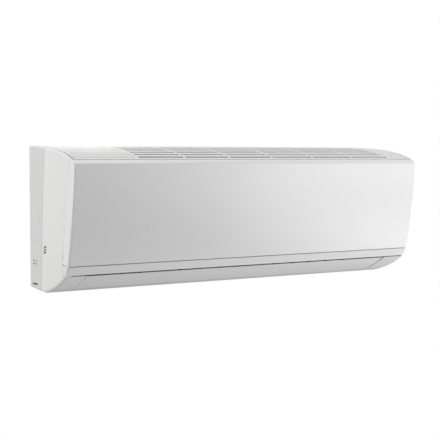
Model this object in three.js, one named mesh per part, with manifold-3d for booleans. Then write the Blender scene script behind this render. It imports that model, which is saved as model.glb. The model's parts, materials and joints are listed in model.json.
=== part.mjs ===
// Wall-hung indoor unit of a mini split air conditioner, in millimetres, +Z up.
// Origin: centre of the wall plate's back face, at half the height of the casing. The front faces -Y.
import * as THREE from 'three';
import { mergeVertices } from 'three/addons/utils/BufferGeometryUtils.js';
import Module from 'manifold-3d';

const wasm = await Module();
wasm.setup();

// ---------------------------------------------------------------- overall size and casing outline
// A section is drawn as (depth out from the wall, height above the underside).
const unitLength = 845;
const unitHeight = 289;
const unitDepth = 209;
const casingWall = 2.4;
const panelWall = 2.6;
const fit = 0.3; // between pieces that seat on each other
const seam = 0.9; // open joint between neighbouring covers
const topFlat = 92; // depth over which the top stays nearly level
const topFlatDrop = 3.5;
const topRoll = 49; // depth over which the top rolls down to the front
const topRollDrop = 9.8;
const topFrontDrop = 33; // front top edge below the highest point
const frontBulgeSetback = 3.9;
const frontBulgeDrop = 93;
const trimTop = 60; // seam between panel and trim
const trimTopSetback = 28.4;
const trimBottom = 41;
const trimBottomSetback = 39;
const bellySetback = 79;
const bellyHeight = 12.2;
const bellyRear = 72;
const coverWallInset = 4; // wall beside the flap, behind the front casing's foot
const coverWallHeight = 11;
const rearLift = 4.6; // underside at the wall above the lowest point
const sideTaperRear = 1.6;
const sideTaperFront = 2.5;
const sideCrest = 66; // depth at which the unit is longest

// Side seam between base moulding and end cover.
const sideSeamFoot = 57;
const sideSeamMiddle = 58;
const sideSeamHead = 83;

// Front panel.
const panelFootSetback = 52; // rear edge of the panel's side return, at its foot
const panelMiddleSetback = 42;
const panelShoulderSetback = 27;
const panelShoulderDrop = 53;
const hingeSetback = 11; // hinge line behind the deepest point of the front
const hingeInset = 7; // and below the top surface
const hingePin = 1.6;
const hingeEye = 3.3;
const hingeLug = 3.4;
const lugWall = 3.4;
const notchFoot = 72; // finger notch at the panel's foot
const notchHead = 84;
const ribDepth = 1.4;

// Ends of the air duct.
const leftBay = 160.5;
const rightBay = 78.5;

// Inlet grille.
const capRim = 5.5; // width of an end cover's rim on the top
const rimGroove = 2.8;
const grilleRear = 22;
const slotCells = 6;
const slotCellLength = 105.6;
const slotCellsLeft = 146.3;
const slotBridge = 5;
const slotPitch = 17.6;
const slotWidth = 8.6;
const frontSlotSetback = 25;
const slotRows = 8;
const blindDepth = 1.1;
const blindWidth = 3.4;

// Front frame and filters.
const frameGap = 4.3; // panel to frame
const frameWall = 2.7;
const windowFoot = 88;
const windowHeadDrop = 53;
const windowMullion = 8;
const windowSideMargin = 7;
const frameShelfDrop = 46;
const filterAir = 14; // panel to filter
const filterRim = 3.5;
const filterNet = 0.8;
const filterRimWidth = 7;
const filterFoot = 84;
const filterBendDrop = 75;
const filterBendRadius = 38;
const filterGap = 6;
const filterToCoil = 4;
const filterRibs = 3;
const tabWidth = 34;
const tabReach = 4;

// Fan, scroll and duct.
const fanHeight = 122;
const rearStack = 42; // wall to the rear of the fan
const coilToFan = 9;
const coilThickness = 24;
const bladeCount = 21;
const bladeThickness = 1.5;
const bladeDepth = 9.5;
const bladeSweep = 11; // degrees from a blade's inner to its outer edge
const fanRingDepth = 11.5;
const fanRingWidth = 3;
const fanRings = 2;
const fanEndGap = 4;
const hubRadius = 11;
const hubLength = 18;
const shaftRadius = 4;
const scrollGap = 5;
const scrollGrowth = 17.4;
const scrollStart = 145.4;
const scrollEnd = 245;
const scrollWall = 2.4;
const tongueGap = 6;
const panFloor = 94;
const panDepth = 10;
const panWall = 2.2;
const outletBack = 99;
const ductKneeHeight = 52;
const rearWallDepth = 8;
const troughFoot = 157;
const partitionWall = 2.5;

// Heat exchanger.
const coilFoot = 110.5;
const coilLowerLength = 69;
const coilKneeForward = 9;
const coilKneeRise = 9.5;
const coilApexDepth = 105;
const coilApexDrop = 51;
const rearCoilStart = 16;
const rearCoilLength = 70;
const finPitch = 25;
const finWidth = 2;
const finDepth = 16;
const coilOverhang = 2.6;
const tubeRadius = 3.6;
const tubeRow = 11;
const tubesPerRow = 2;
const bendReach = 9;
const endPlate = 1.5;

// Flap.
const flapLeft = 45.5; // from the unit's left end
const flapRight = 58.3; // from its right end
const flapWall = 2;
const flapSwell = 2.4;
const flapInset = 1.2;
const flapPivotSetback = 105;
const flapPivotHeight = 16.5;
const flapBead = 4.2;
const flapPin = 2.5;
const flapPinLength = 5;
const flapDriveLength = 8;
const flapSweep = 10.3;

// Vanes.
const vanesPerGang = 6;
const vanePitch = 48;
const vaneAlong = 34; // from the end of the scroll curve to the vane stems
const vaneFront = 12;
const vaneRear = 14;
const vaneHeight = 53;
const vaneWall = 1.6;
const vaneStem = 2;
const stripWall = 2.4;
const stripWidth = 11;
const stripMargin = 12;
const linkPin = 1.25;
const linkPinBack = 9;
const linkWall = 2;
const linkWidth = 5.2;

// Motor, bearing and electrics.
const motorRadius = 36;
const motorLength = 50;
const motorGap = 38; // duct end to the motor
const cradleWall = 5;
const cradleInset = 7;
const clampWall = 2;
const clampWidth = 14;
const bushRadius = 13;
const bushLength = 6;
const bushFlange = 17;
const boxLeftGap = 12;
const boxRightGap = 44;
const boxFoot = 76;
const boxHead = 226;
const boxWall = 2;
const boxMotorGap = 5;
const boxFrontGap = 3;
const boardWall = 1.6;
const flapMotorRadius = 10.5;
const flapMotorLength = 17;
const receiverInset = 14;
const receiverLeft = 60; // from the unit's right end
const receiverRight = 18;
const receiverFoot = 88;
const receiverHead = 128;
const buttonRadius = 4;
const buttonHeight = 112;
const buttonFromEnd = 26;
const buttonProud = 1.2;
const buttonTravel = 1.5;

// Refrigerant lines.
const gasRadius = 4.76;
const liquidRadius = 3.18;
const lineBend = 18;
const lineRun = 310;
const gasLineDepth = 26;
const gasLineHeight = 50;
const liquidLineHeight = 26;
const gasDrop = 38; // duct end to the falling stretch of the gas line
const liquidDrop = 26;
const gasFall = 66; // height at which the line turns back towards the wall
const liquidFall = 71;
const flareLength = 20;

// Wall plate.
const plateLength = 560;
const plateFoot = 14;
const plateHead = 250;
const plateWall = 1.2;
const plateRib = 3;
const hookWidth = 40;
const hookPitch = 200;
const hookRise = 10;
const hookReach = 5.2;
const anchorHole = 3;

// Small parts on the casing.
const slitWidth = 1.8;

const left = -unitLength / 2;
const right = unitLength / 2;
const ductLeft = left + leftBay;
const ductRight = right - rightBay;
const beyond = 40; // cutters reach this far past what they cut
// Span along the unit between two distances from its left (-1) or right (1) end.
const fromEnd = (side, near, far) => (side < 0 ? [left + near, left + far] : [right - far, right - near]);

// ---------------------------------------------------------------- drawing helpers
const at = (depth, height) => new THREE.Vector2(depth, height);
const along = (origin, direction, distance) => origin.clone().addScaledVector(direction, distance);
const polar = (centre, radius, degrees) => {
  const angle = THREE.MathUtils.degToRad(degrees);
  return at(centre.x + radius * Math.cos(angle), centre.y + radius * Math.sin(angle));
};
const rightOf = (direction) => at(direction.y, -direction.x);
const leftOf = (direction) => at(-direction.y, direction.x);

function arcPoints(centre, radius, fromDegrees, toDegrees, steps) {
  const points = [];
  for (let i = 0; i <= steps; i += 1) {
    points.push(polar(centre, radius, fromDegrees + ((toDegrees - fromDegrees) * i) / steps));
  }
  return points;
}

function circle(centre, radius, sides = 16) {
  return arcPoints(centre, radius, 0, 360 - 360 / sides, sides - 1);
}

// Moves an open line of points sideways, to its right for a positive distance.
function offsetLine(points, distance) {
  return points.map((point, i) => {
    const before = points[Math.max(i - 1, 0)];
    const after = points[Math.min(i + 1, points.length - 1)];
    const inward = (i > 0 ? point.clone().sub(before) : after.clone().sub(point)).normalize();
    const outward = (i < points.length - 1 ? after.clone().sub(point) : inward.clone()).normalize();
    const miter = rightOf(inward).add(rightOf(outward)).normalize();
    return along(point, miter, distance / miter.dot(rightOf(inward)));
  });
}

// Closed outline of a wall that follows a line and lies to its right.
function bandOutline(points, thickness) {
  return [...points, ...offsetLine(points, thickness).reverse()];
}

// ---------------------------------------------------------------- solid helpers
function solid(geometry) {
  const bare = geometry.clone();
  bare.deleteAttribute('normal');
  bare.deleteAttribute('uv');
  const merged = mergeVertices(bare);
  return new wasm.Manifold(new wasm.Mesh({
    numProp: 3,
    vertProperties: new Float32Array(merged.attributes.position.array),
    triVerts: new Uint32Array(merged.index.array),
  }));
}

const finest = 0.01; // edges shorter than this are drawn together

function geometryOf(body) {
  const mesh = body.simplify(finest).getMesh();
  const geometry = new THREE.BufferGeometry();
  geometry.setAttribute('position', new THREE.BufferAttribute(new Float32Array(mesh.vertProperties), 3));
  geometry.setIndex(new THREE.BufferAttribute(new Uint32Array(mesh.triVerts), 1));
  geometry.computeVertexNormals();
  return geometry;
}

const joined = (bodies) => bodies.reduce((sum, body) => sum.add(body));

function extrusion(outline, depth, basis, holes = []) {
  const shape = new THREE.Shape(outline);
  for (const hole of holes) {
    shape.holes.push(new THREE.Path(hole));
  }
  const geometry = new THREE.ExtrudeGeometry(shape, { depth, bevelEnabled: false, steps: 1 });
  return solid(geometry.applyMatrix4(basis));
}

// A section outline drawn out along the unit's length.
function prism(outline, from, to, holes = []) {
  const basis = new THREE.Matrix4().makeBasis(
    new THREE.Vector3(0, -1, 0),
    new THREE.Vector3(0, 0, 1),
    new THREE.Vector3(-1, 0, 0),
  );
  basis.setPosition(to, 0, 0);
  return extrusion(outline, to - from, basis, holes);
}

// A front-view outline (length, height) drawn out from the wall.
function facing(outline, nearDepth, farDepth, holes = []) {
  const basis = new THREE.Matrix4().makeBasis(
    new THREE.Vector3(1, 0, 0),
    new THREE.Vector3(0, 0, 1),
    new THREE.Vector3(0, -1, 0),
  );
  basis.setPosition(0, -nearDepth, 0);
  return extrusion(outline, farDepth - nearDepth, basis, holes);
}

// An outline in (length, offset along the normal) drawn out along the surface, down from a section point.
function slabPrism(outline, start, normal, length, holes = []) {
  const basis = new THREE.Matrix4().makeBasis(
    new THREE.Vector3(1, 0, 0),
    new THREE.Vector3(0, -normal.x, normal.y),
    new THREE.Vector3(0, -normal.y, -normal.x),
  );
  basis.setPosition(0, -start.x, start.y);
  return extrusion(outline, length, basis, holes);
}

// An outline in (length, distance along the surface) drawn out along the normal from a section point.
function raised(outline, start, normal, nearOffset, farOffset, holes = []) {
  const basis = new THREE.Matrix4().makeBasis(
    new THREE.Vector3(1, 0, 0),
    new THREE.Vector3(0, normal.y, normal.x),
    new THREE.Vector3(0, -normal.x, normal.y),
  );
  const foot = along(start, normal, nearOffset);
  basis.setPosition(0, -foot.x, foot.y);
  return extrusion(outline, farOffset - nearOffset, basis, holes);
}

function block(x0, x1, depth0, depth1, height0, height1) {
  return prism([at(depth0, height0), at(depth1, height0), at(depth1, height1), at(depth0, height1)], x0, x1);
}

const rectangle = (x0, x1, y0, y1) => [at(x0, y0), at(x1, y0), at(x1, y1), at(x0, y1)];

// A path of straight stretches joined by round bends; each straight is one step and each bend four.
const closest = 0.5; // stations nearer than this are taken as one

class BentPath extends THREE.Curve {
  constructor(corners, radius, bendSteps = 4) {
    super();
    this.stations = [corners[0]];
    for (let i = 1; i < corners.length - 1; i += 1) {
      const arriving = corners[i].clone().sub(corners[i - 1]).normalize();
      const leaving = corners[i + 1].clone().sub(corners[i]).normalize();
      const turn = arriving.angleTo(leaving);
      const trim = radius * Math.tan(turn / 2);
      const entry = corners[i].clone().addScaledVector(arriving, -trim);
      const inward = leaving.clone().addScaledVector(arriving, -leaving.dot(arriving)).normalize();
      for (let k = 0; k <= bendSteps; k += 1) {
        const angle = (turn * k) / bendSteps;
        const station = entry.clone().addScaledVector(arriving, radius * Math.sin(angle));
        station.addScaledVector(inward, radius * (1 - Math.cos(angle)));
        if (station.distanceTo(this.stations[this.stations.length - 1]) > closest) {
          this.stations.push(station);
        }
      }
    }
    this.stations.push(corners[corners.length - 1]);
  }

  getPoint(t, target = new THREE.Vector3()) {
    const place = Math.min(t, 1) * (this.stations.length - 1);
    const index = Math.min(Math.floor(place), this.stations.length - 2);
    return target.lerpVectors(this.stations[index], this.stations[index + 1], place - index);
  }

  getPointAt(u, target) {
    return this.getPoint(u, target);
  }

  getTangentAt(u, target) {
    return this.getTangent(u, target);
  }
}

function bentTube(corners, bendRadius, tubeSize, sides, bendSteps = 4) {
  const path = new BentPath(corners, bendRadius, bendSteps);
  const section = new THREE.Shape(circle(at(0, 0), tubeSize, sides));
  const steps = path.stations.length - 1;
  return solid(new THREE.ExtrudeGeometry(section, { steps, bevelEnabled: false, extrudePath: path }));
}

const material = (color, roughness, metalness = 0) => new THREE.MeshStandardMaterial({
  color,
  roughness,
  metalness,
  flatShading: true,
});

const whitePlastic = material(0xeceeee, 0.35);
const glossPanel = material(0xe9eaec, 0.16);
const basePlastic = material(0xe4e6e6, 0.5);
const filterPlastic = material(0x8fa3ad, 0.6);
const fanPlastic = material(0x2c2f33, 0.5);
const fins = material(0xc9ced2, 0.4, 0.9);
const copper = material(0xb87349, 0.35, 1);
const brass = material(0xc2a052, 0.35, 1);
const zinc = material(0xb4b9bd, 0.45, 1);
const steel = material(0x9da1a5, 0.4, 1);
const rubber = material(0x2a2b2c, 0.85);
const boardGreen = material(0x2f6b45, 0.6);
const darkPlastic = material(0x3a3d40, 0.6);

const unit = new THREE.Group();

function part(name, body, finish, place = new THREE.Vector3()) {
  const mesh = new THREE.Mesh(geometryOf(body), finish.clone());
  mesh.name = name;
  mesh.position.copy(place);
  unit.add(mesh);
  return mesh;
}

// ---------------------------------------------------------------- casing surfaces
const frontTopEdge = at(unitDepth, unitHeight - topFrontDrop);
const topCurve = new THREE.CubicBezierCurve(
  at(0, unitHeight),
  at(topFlat, unitHeight - topFlatDrop),
  at(unitDepth - topRoll, unitHeight - topRollDrop),
  frontTopEdge,
);
const frontCurve = new THREE.QuadraticBezierCurve(
  frontTopEdge,
  at(unitDepth - frontBulgeSetback, frontTopEdge.y - frontBulgeDrop),
  at(unitDepth - trimTopSetback, trimTop),
);
const trimFoot = at(unitDepth - trimBottomSetback, trimBottom);
const bellyCurve = new THREE.QuadraticBezierCurve(
  trimFoot,
  at(unitDepth - bellySetback, bellyHeight),
  at(bellyRear, 0),
);

// Point on a curve where its depth ('x') or height ('y') falls to the wanted value.
function pointWhere(curve, axis, wanted) {
  const rising = curve.getPoint(1)[axis] > curve.getPoint(0)[axis];
  let low = 0;
  let high = 1;
  for (let i = 0; i < 40; i += 1) {
    const middle = (low + high) / 2;
    const short = rising ? curve.getPoint(middle)[axis] < wanted : curve.getPoint(middle)[axis] > wanted;
    if (short) {
      low = middle;
    } else {
      high = middle;
    }
  }
  return curve.getPoint(low);
}

const topAt = (depth) => pointWhere(topCurve, 'x', depth).y;
const frontAt = (height) => pointWhere(frontCurve, 'y', height).x;
const bellyAt = (depth) => pointWhere(bellyCurve, 'x', depth).y;

// Stretch of the underside's curve from one depth to another.
function bellyLine(fromDepth, toDepth, steps) {
  const points = [];
  for (let i = 0; i <= steps; i += 1) {
    const depth = fromDepth + ((toDepth - fromDepth) * i) / steps;
    points.push(at(depth, bellyAt(depth)));
  }
  return points;
}

const casingLine = [
  ...topCurve.getPoints(9),
  ...frontCurve.getPoints(8).slice(1),
  ...bellyCurve.getPoints(7),
  at(0, rearLift),
];

// Half the unit's length at a depth, less an inset.
function planOutline(inset) {
  const crest = at(right - inset, sideCrest);
  const nose = at(right - sideTaperFront - inset, unitDepth + beyond);
  const bulge = at(right - inset, unitDepth * 0.8);
  const flank = [
    at(right - sideTaperRear - inset, -beyond),
    ...new THREE.QuadraticBezierCurve(crest, bulge, nose).getPoints(4),
  ];
  const mirrored = flank.map((point) => at(-point.x, point.y)).reverse();
  return [...flank, ...mirrored].map((point) => at(point.x, -point.y));
}

// The closed block inside the casing surface moved inwards; it stays open to the wall.
const envelopes = new Map();
function envelope(inset) {
  if (!envelopes.has(inset)) {
    const line = inset > 0 ? offsetLine(casingLine, inset) : casingLine;
    const back = inset > 0 ? [at(-beyond, line[line.length - 1].y), at(-beyond, line[0].y)] : [];
    const plan = extrusion(
      planOutline(inset),
      unitHeight + 2 * beyond,
      new THREE.Matrix4().makeTranslation(0, 0, -beyond),
    );
    envelopes.set(inset, prism([...line, ...back], left - beyond, right + beyond).intersect(plan));
  }
  return envelopes.get(inset);
}

const skin = (outerInset, innerInset) => envelope(outerInset).subtract(envelope(innerInset));

// ---------------------------------------------------------------- places worked out from the casing
const hinge = at(unitDepth - hingeSetback, topAt(unitDepth - hingeSetback) - hingeInset);
const nose = hingeInset; // the panel's top return ends in an arc round the hinge
// The seam under the panel is an arc round the hinge line, so that the panel's foot clears the trim.
const panelReach = hinge.distanceTo(at(frontAt(trimTop), trimTop));
const underPanel = (gap) => prism([
  ...arcPoints(hinge, panelReach + gap, -110, -70, 16),
  at(unitDepth + beyond, -beyond),
  at(sideCrest, -beyond),
], left - beyond, right + beyond);
const sideSeamCurve = new THREE.QuadraticBezierCurve(
  at(sideSeamFoot, -beyond),
  at(sideSeamMiddle, unitHeight / 2),
  at(sideSeamHead, unitHeight + beyond),
);
const panelRear = unitDepth - panelFootSetback;
const panelShoulderPoint = at(unitDepth - panelShoulderSetback, unitHeight - panelShoulderDrop);
const panelBackCurve = new THREE.QuadraticBezierCurve(
  at(panelRear, trimTop),
  at(unitDepth - panelMiddleSetback, (trimTop + unitHeight - panelShoulderDrop) / 2 - 18),
  panelShoulderPoint,
);

const filterLow = at(
  frontAt(filterFoot) - panelWall - filterAir - filterRim / 2,
  filterFoot,
);
const filterTurn = at(
  frontAt(unitHeight - filterBendDrop) - panelWall - filterAir - filterRim / 2,
  unitHeight - filterBendDrop,
);
const filterRise = filterTurn.clone().sub(filterLow).normalize();
const filterOut = rightOf(filterRise);

const coilOffset = filterRim / 2 + filterToCoil + coilThickness / 2;
const coilLine = along(filterLow, filterOut, -coilOffset);
const fanRoom = filterOut.x * (coilLine.x - rearStack) + filterOut.y * (coilLine.y - fanHeight);
const fanRadius = (fanRoom - coilThickness / 2 - coilToFan) / (1 + filterOut.x);
const fan = at(rearStack + fanRadius, fanHeight);

const coilLowerStart = along(coilLine, filterRise, (coilFoot - coilLine.y) / filterRise.y);
const coilLowerEnd = along(coilLowerStart, filterRise, coilLowerLength);
const coilKnee = at(coilLowerEnd.x - coilKneeForward, coilLowerEnd.y + coilKneeRise);
const coilApex = at(coilApexDepth, unitHeight - coilApexDrop);
const upperRise = coilApex.clone().sub(coilKnee).normalize();
const rearOut = polar(at(0, 0), 1, 142.6);
const rearRise = rightOf(rearOut);
const rearCoilFoot = along(fan, rearOut, fanRadius + coilToFan + coilThickness / 2);
const rearCoilLow = along(rearCoilFoot, rearRise, rearCoilStart);
const rearCoilHigh = along(rearCoilLow, rearRise, rearCoilLength);

const scrollPoint = (share) => polar(
  fan,
  fanRadius + scrollGap + scrollGrowth * share * share,
  scrollStart + (scrollEnd - scrollStart) * share,
);
const scrollCurve = Array.from({ length: 8 }, (_, i) => scrollPoint(i / 7));
const scrollFoot = scrollPoint(1);
const flapPivot = at(unitDepth - flapPivotSetback, flapPivotHeight);
const lip = at(flapPivot.x - flapSweep, flapPivot.y - 0.5);
const ductRun = lip.clone().sub(scrollFoot).normalize();
const ductOut = leftOf(ductRun);
const troughRear = fan.x + Math.sqrt((fanRadius + tongueGap) ** 2 - (fanHeight - panFloor) ** 2);
const filterPlane = (height) => filterLow.x + ((height - filterLow.y) * filterRise.x) / filterRise.y;
const troughFront = filterPlane(panFloor) - filterRim / 2 / filterRise.y - 2 * fit;
const ductTop = [
  at(troughRear + panWall, panFloor),
  at(unitDepth - trimBottomSetback - 10, ductKneeHeight),
  at(trimFoot.x - 2.6, trimFoot.y + 3.8),
];

// ---------------------------------------------------------------- base moulding
// What is cut away round the flap's hinge line, so that its rear edge can swing.
const flapRelief = (inner) => prism(
  circle(flapPivot, flapSweep - inner, 20),
  left + flapLeft - 1.5,
  right - flapRight + 1.5,
);

function sideBand(fromDepth) {
  const line = sideSeamCurve.getPoints(8).map((point) => at(point.x + fromDepth, point.y));
  return line;
}

function chassisSkin() {
  const rear = [at(-beyond, -beyond), ...sideBand(0), at(-beyond, unitHeight + beyond)];
  const sides = joined([
    prism(rear, left - beyond, left + capRim),
    prism(rear, right - capRim, right + beyond),
  ]);
  const top = block(left, right, -beyond, grilleRear - seam, unitHeight / 2, unitHeight + beyond);
  const innerEnd = left + capRim;
  const bottom = block(innerEnd, -innerEnd, -beyond, outletBack - seam, -beyond, trimBottom / 2);
  return skin(0, casingWall).intersect(joined([sides, top, bottom]));
}

function scrollBand() {
  const headDepth = at(rearWallDepth, topAt(rearWallDepth) - casingWall / 2);
  const line = [
    at(lip.x + 2, bellyAt(lip.x + 2) + casingWall / 2),
    lip,
    ...[...scrollCurve].reverse(),
    at(scrollCurve[0].x - 9, troughFoot),
    at(rearWallDepth + 12, troughFoot),
    at(rearWallDepth, troughFoot + 22),
    headDepth,
  ];
  const wall = prism(bandOutline(line.reverse(), scrollWall), ductLeft - partitionWall, ductRight + partitionWall);
  const gutter = [at(scrollCurve[0].x - 5, troughFoot - 4), at(scrollCurve[0].x - 1, troughFoot + 8)];
  return wall.add(prism(bandOutline(gutter, 2.2), ductLeft, ductRight));
}

// Side wall of the duct: inside the coil, above the flap, behind the outlet's upper wall.
function partitionOutline() {
  const inner = coilThickness / 2 + 0.8;
  const lowerIn = (distance) => along(along(coilLowerStart, filterRise, distance), filterOut, -inner);
  const upperOut = rightOf(upperRise);
  const duct = offsetLine(ductTop, 3.2);
  return [
    ...scrollCurve,
    along(lip, ductOut, -scrollWall / 2),
    ...offsetLine(bellyCurve.getPoints(7), 9.5).reverse().filter((p) => p.x > lip.x + 12 && p.x < ductTop[1].x - 4),
    at(duct[1].x - 4, duct[1].y - 4),
    at(duct[0].x - 4, panFloor - 6),
    at(troughRear - 3, panFloor - 2),
    at(troughRear - 3, panFloor + panDepth + 4),
    lowerIn(6),
    lowerIn(coilLowerLength - 4),
    along(coilApex, upperOut, -inner - 5).sub(at(0, 8)),
    along(along(rearCoilHigh, rearRise, -14), rearOut, -inner),
    along(along(rearCoilLow, rearRise, 2), rearOut, -inner),
  ];
}

function partition(x, holeRadius) {
  const hole = prism(circle(fan, holeRadius, 20), x - beyond, x + partitionWall + beyond);
  return prism(partitionOutline(), x, x + partitionWall).subtract(hole);
}

function motorCradle() {
  const motorRight = ductLeft - motorGap;
  const motorLeft = motorRight - motorLength;
  const outline = [
    at(rearWallDepth + 1, fan.y - motorRadius - 14),
    at(fan.x + motorRadius * 0.7, fan.y - motorRadius - 14),
    at(fan.x + motorRadius * 0.7, fan.y - motorRadius * 0.62),
    at(fan.x, fan.y - motorRadius * 0.5),
    at(fan.x - motorRadius * 0.5, fan.y + 10),
    at(rearWallDepth + 1, fan.y + 10),
  ];
  const seatHole = prism(circle(fan, motorRadius + fit, 24), motorLeft - beyond, motorRight + beyond);
  const rib = (x) => prism(outline, x, x + cradleWall);
  const shelf = block(
    motorLeft + cradleInset,
    motorRight - cradleInset,
    rearWallDepth + 1,
    fan.x + motorRadius * 0.7,
    fan.y - motorRadius - 14,
    fan.y - motorRadius - 11,
  );
  return joined([rib(motorLeft + cradleInset), rib(motorRight - cradleInset - cradleWall), shelf])
    .subtract(seatHole);
}

function rearWalls() {
  const wallTop = topAt(rearWallDepth) - casingWall / 2;
  const leftWall = block(
    left + casingWall / 2 + 1,
    ductLeft,
    rearWallDepth,
    rearWallDepth + scrollWall,
    fan.y - motorRadius - 14,
    wallTop,
  );
  const rightWall = block(
    ductRight,
    right - casingWall / 2 - 1,
    rearWallDepth,
    rearWallDepth + scrollWall,
    fan.y - motorRadius - 14,
    wallTop,
  );
  return leftWall.add(rightWall);
}

// Ledge on the back that hangs over the wall plate's hooks.
function hangingRail() {
  const under = plateHead + hookRise / 2;
  return prism([
    at(hookReach - plateWall - 3.2, under),
    at(hookReach - plateWall - fit, under),
    at(hookReach - plateWall - fit, plateHead + hookRise + fit),
    at(rearWallDepth + 1, plateHead + hookRise + fit),
    at(rearWallDepth + 1, plateHead + hookRise + fit + 3),
    at(hookReach - plateWall - 3.2, plateHead + hookRise + fit + 3),
  ], -plateLength / 2, plateLength / 2);
}

// Gussets that stiffen the line channel behind the scroll.
function channelGussets() {
  const floor = rearLift;
  const outline = [
    at(scrollFoot.x - 6, floor - 2),
    at(lip.x - 4, floor - 3),
    at(scrollFoot.x + 6, scrollFoot.y - 12),
    at(scrollFoot.x - 2, scrollFoot.y - 6),
  ];
  const places = [ductLeft + 60, 0, ductRight - 60];
  return joined(places.map((x) => prism(outline, x, x + 2.5))).intersect(envelope(casingWall / 2));
}

function rearSlots() {
  const cutters = [];
  for (const column of [0, 1]) {
    for (const row of [0, 1]) {
      const depth = 16 + column * 13;
      const height = 53 + row * 5.6;
      cutters.push(block(left - beyond, left + capRim, depth, depth + 8, height, height + slitWidth));
    }
  }
  cutters.push(block(left - beyond, left + capRim, 12, 37, 12, 15));
  return joined(cutters);
}

function rearChassis() {
  const raw = joined([
    chassisSkin(),
    scrollBand(),
    partition(ductLeft - partitionWall, hubRadius + 4),
    partition(ductRight, bushRadius + fit),
    motorCradle(),
    rearWalls(),
    hangingRail(),
    channelGussets(),
  ]);
  return raw.subtract(flapRelief(0)).subtract(rearSlots());
}

// ---------------------------------------------------------------- covers
const noseArc = (gap, from, to) => arcPoints(hinge, nose + gap, from, to, 6);

// Line from the underside to the top that parts the panel from what lies behind it.
function panelBack(gap) {
  const line = panelBackCurve.getPoints(6).map((point) => at(point.x - gap, point.y));
  return [...line, ...noseArc(gap, 200, 88)];
}

function endCap(side) {
  const back = sideBand(seam * 0.4).reverse();
  const region = [
    ...back,
    at(panelBackCurve.getPoint(0).x + 40, -beyond),
    at(trimFoot.x + 4, trimFoot.y - 0.4),
    at(panelRear - seam * 0.4, trimBottom - 0.4),
    ...panelBack(seam * 0.4).slice(0, 7),
    ...noseArc(seam, 200, 88),
    at(hinge.x, unitHeight + beyond),
  ];
  const span = fromEnd(side, -beyond, capRim);
  let body = skin(0, casingWall).intersect(prism(region, ...span));
  if (side < 0) {
    const slit = (i) => prism([
      at(70, 76 + i * 5.4),
      at(82, 80 + i * 5.4),
      at(82, 82 + i * 5.4),
      at(70, 78 + i * 5.4),
    ], left - beyond, left + casingWall + 1);
    body = body.subtract(joined([0, 1, 2].map(slit)));
  }
  const fingerNotch = prism([
    at(panelRear - 2, notchFoot - 2),
    at(panelRear + 12, notchFoot - 2),
    at(panelRear + 12, notchHead + 2),
    at(panelRear + 1, notchHead + 2),
  ], ...span);
  return body.subtract(fingerNotch);
}

function slotCutters() {
  const cutters = [];
  for (let row = 0; row < slotRows; row += 1) {
    const centre = unitDepth - frontSlotSetback - row * slotPitch;
    for (let cell = 0; cell < slotCells; cell += 1) {
      const start = left + slotCellsLeft + cell * slotCellLength + slotBridge / 2;
      const end = start + slotCellLength - slotBridge;
      cutters.push(block(start, end, centre - slotWidth / 2, centre + slotWidth / 2, unitHeight / 2, unitHeight + 5));
    }
  }
  return joined(cutters);
}

function blindGrooves() {
  const cutters = [];
  const openRight = left + slotCellsLeft + slotCells * slotCellLength;
  for (let row = 0; row < slotRows; row += 1) {
    const centre = unitDepth - frontSlotSetback - row * slotPitch;
    for (const [start, end] of [[left, left + slotCellsLeft - slotBridge], [openRight + slotBridge, right]]) {
      cutters.push(block(start, end, centre - blindWidth / 2, centre + blindWidth / 2, unitHeight / 2, unitHeight + 5));
    }
  }
  return joined(cutters).subtract(envelope(blindDepth));
}

function inletGrille() {
  const rimIn = left + capRim + rimGroove;
  const region = [
    at(grilleRear, unitHeight / 2),
    at(hinge.x - nose - 3, unitHeight / 2),
    at(hinge.x - nose - 3, hinge.y),
    ...noseArc(seam, 170, 88),
    at(hinge.x, unitHeight + beyond),
    at(grilleRear, unitHeight + beyond),
  ];
  const cover = skin(0, casingWall).intersect(prism(region, rimIn, -rimIn));
  const ledgeRegion = [
    at(grilleRear + 1, unitHeight / 2),
    at(hinge.x - nose - 4, unitHeight / 2),
    at(hinge.x - nose - 4, unitHeight + beyond),
    at(grilleRear + 1, unitHeight + beyond),
  ];
  const ledgeEnd = left + capRim - casingWall;
  const ledge = skin(casingWall + fit, casingWall + 2).intersect(joined([
    prism(ledgeRegion, ledgeEnd, rimIn + 4),
    prism(ledgeRegion, -rimIn - 4, -ledgeEnd),
  ]));
  const bridge = skin(casingWall - 0.5, casingWall + 2).intersect(joined([
    prism(ledgeRegion, rimIn, rimIn + 4),
    prism(ledgeRegion, -rimIn - 4, -rimIn),
  ]));
  return joined([cover, ledge, bridge]).subtract(slotCutters()).subtract(blindGrooves());
}

function lowerTrim() {
  const foot = panelRear;
  const region = [
    at(foot + fit, trimTop + beyond),
    at(foot + fit, trimBottom),
    at(unitDepth + beyond, trimBottom),
    at(unitDepth + beyond, trimTop + beyond),
  ];
  const band = skin(0, casingWall).intersect(prism(region, left - beyond, right + beyond));
  const front = band.intersect(underPanel(seam));
  const flangeEnd = left + casingWall;
  const flange = envelope(casingWall / 2).intersect(
    block(flangeEnd, -flangeEnd, foot + 3, unitDepth, trimTop - seam - 2.2, trimTop - seam),
  );
  return front.add(flange);
}

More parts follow.
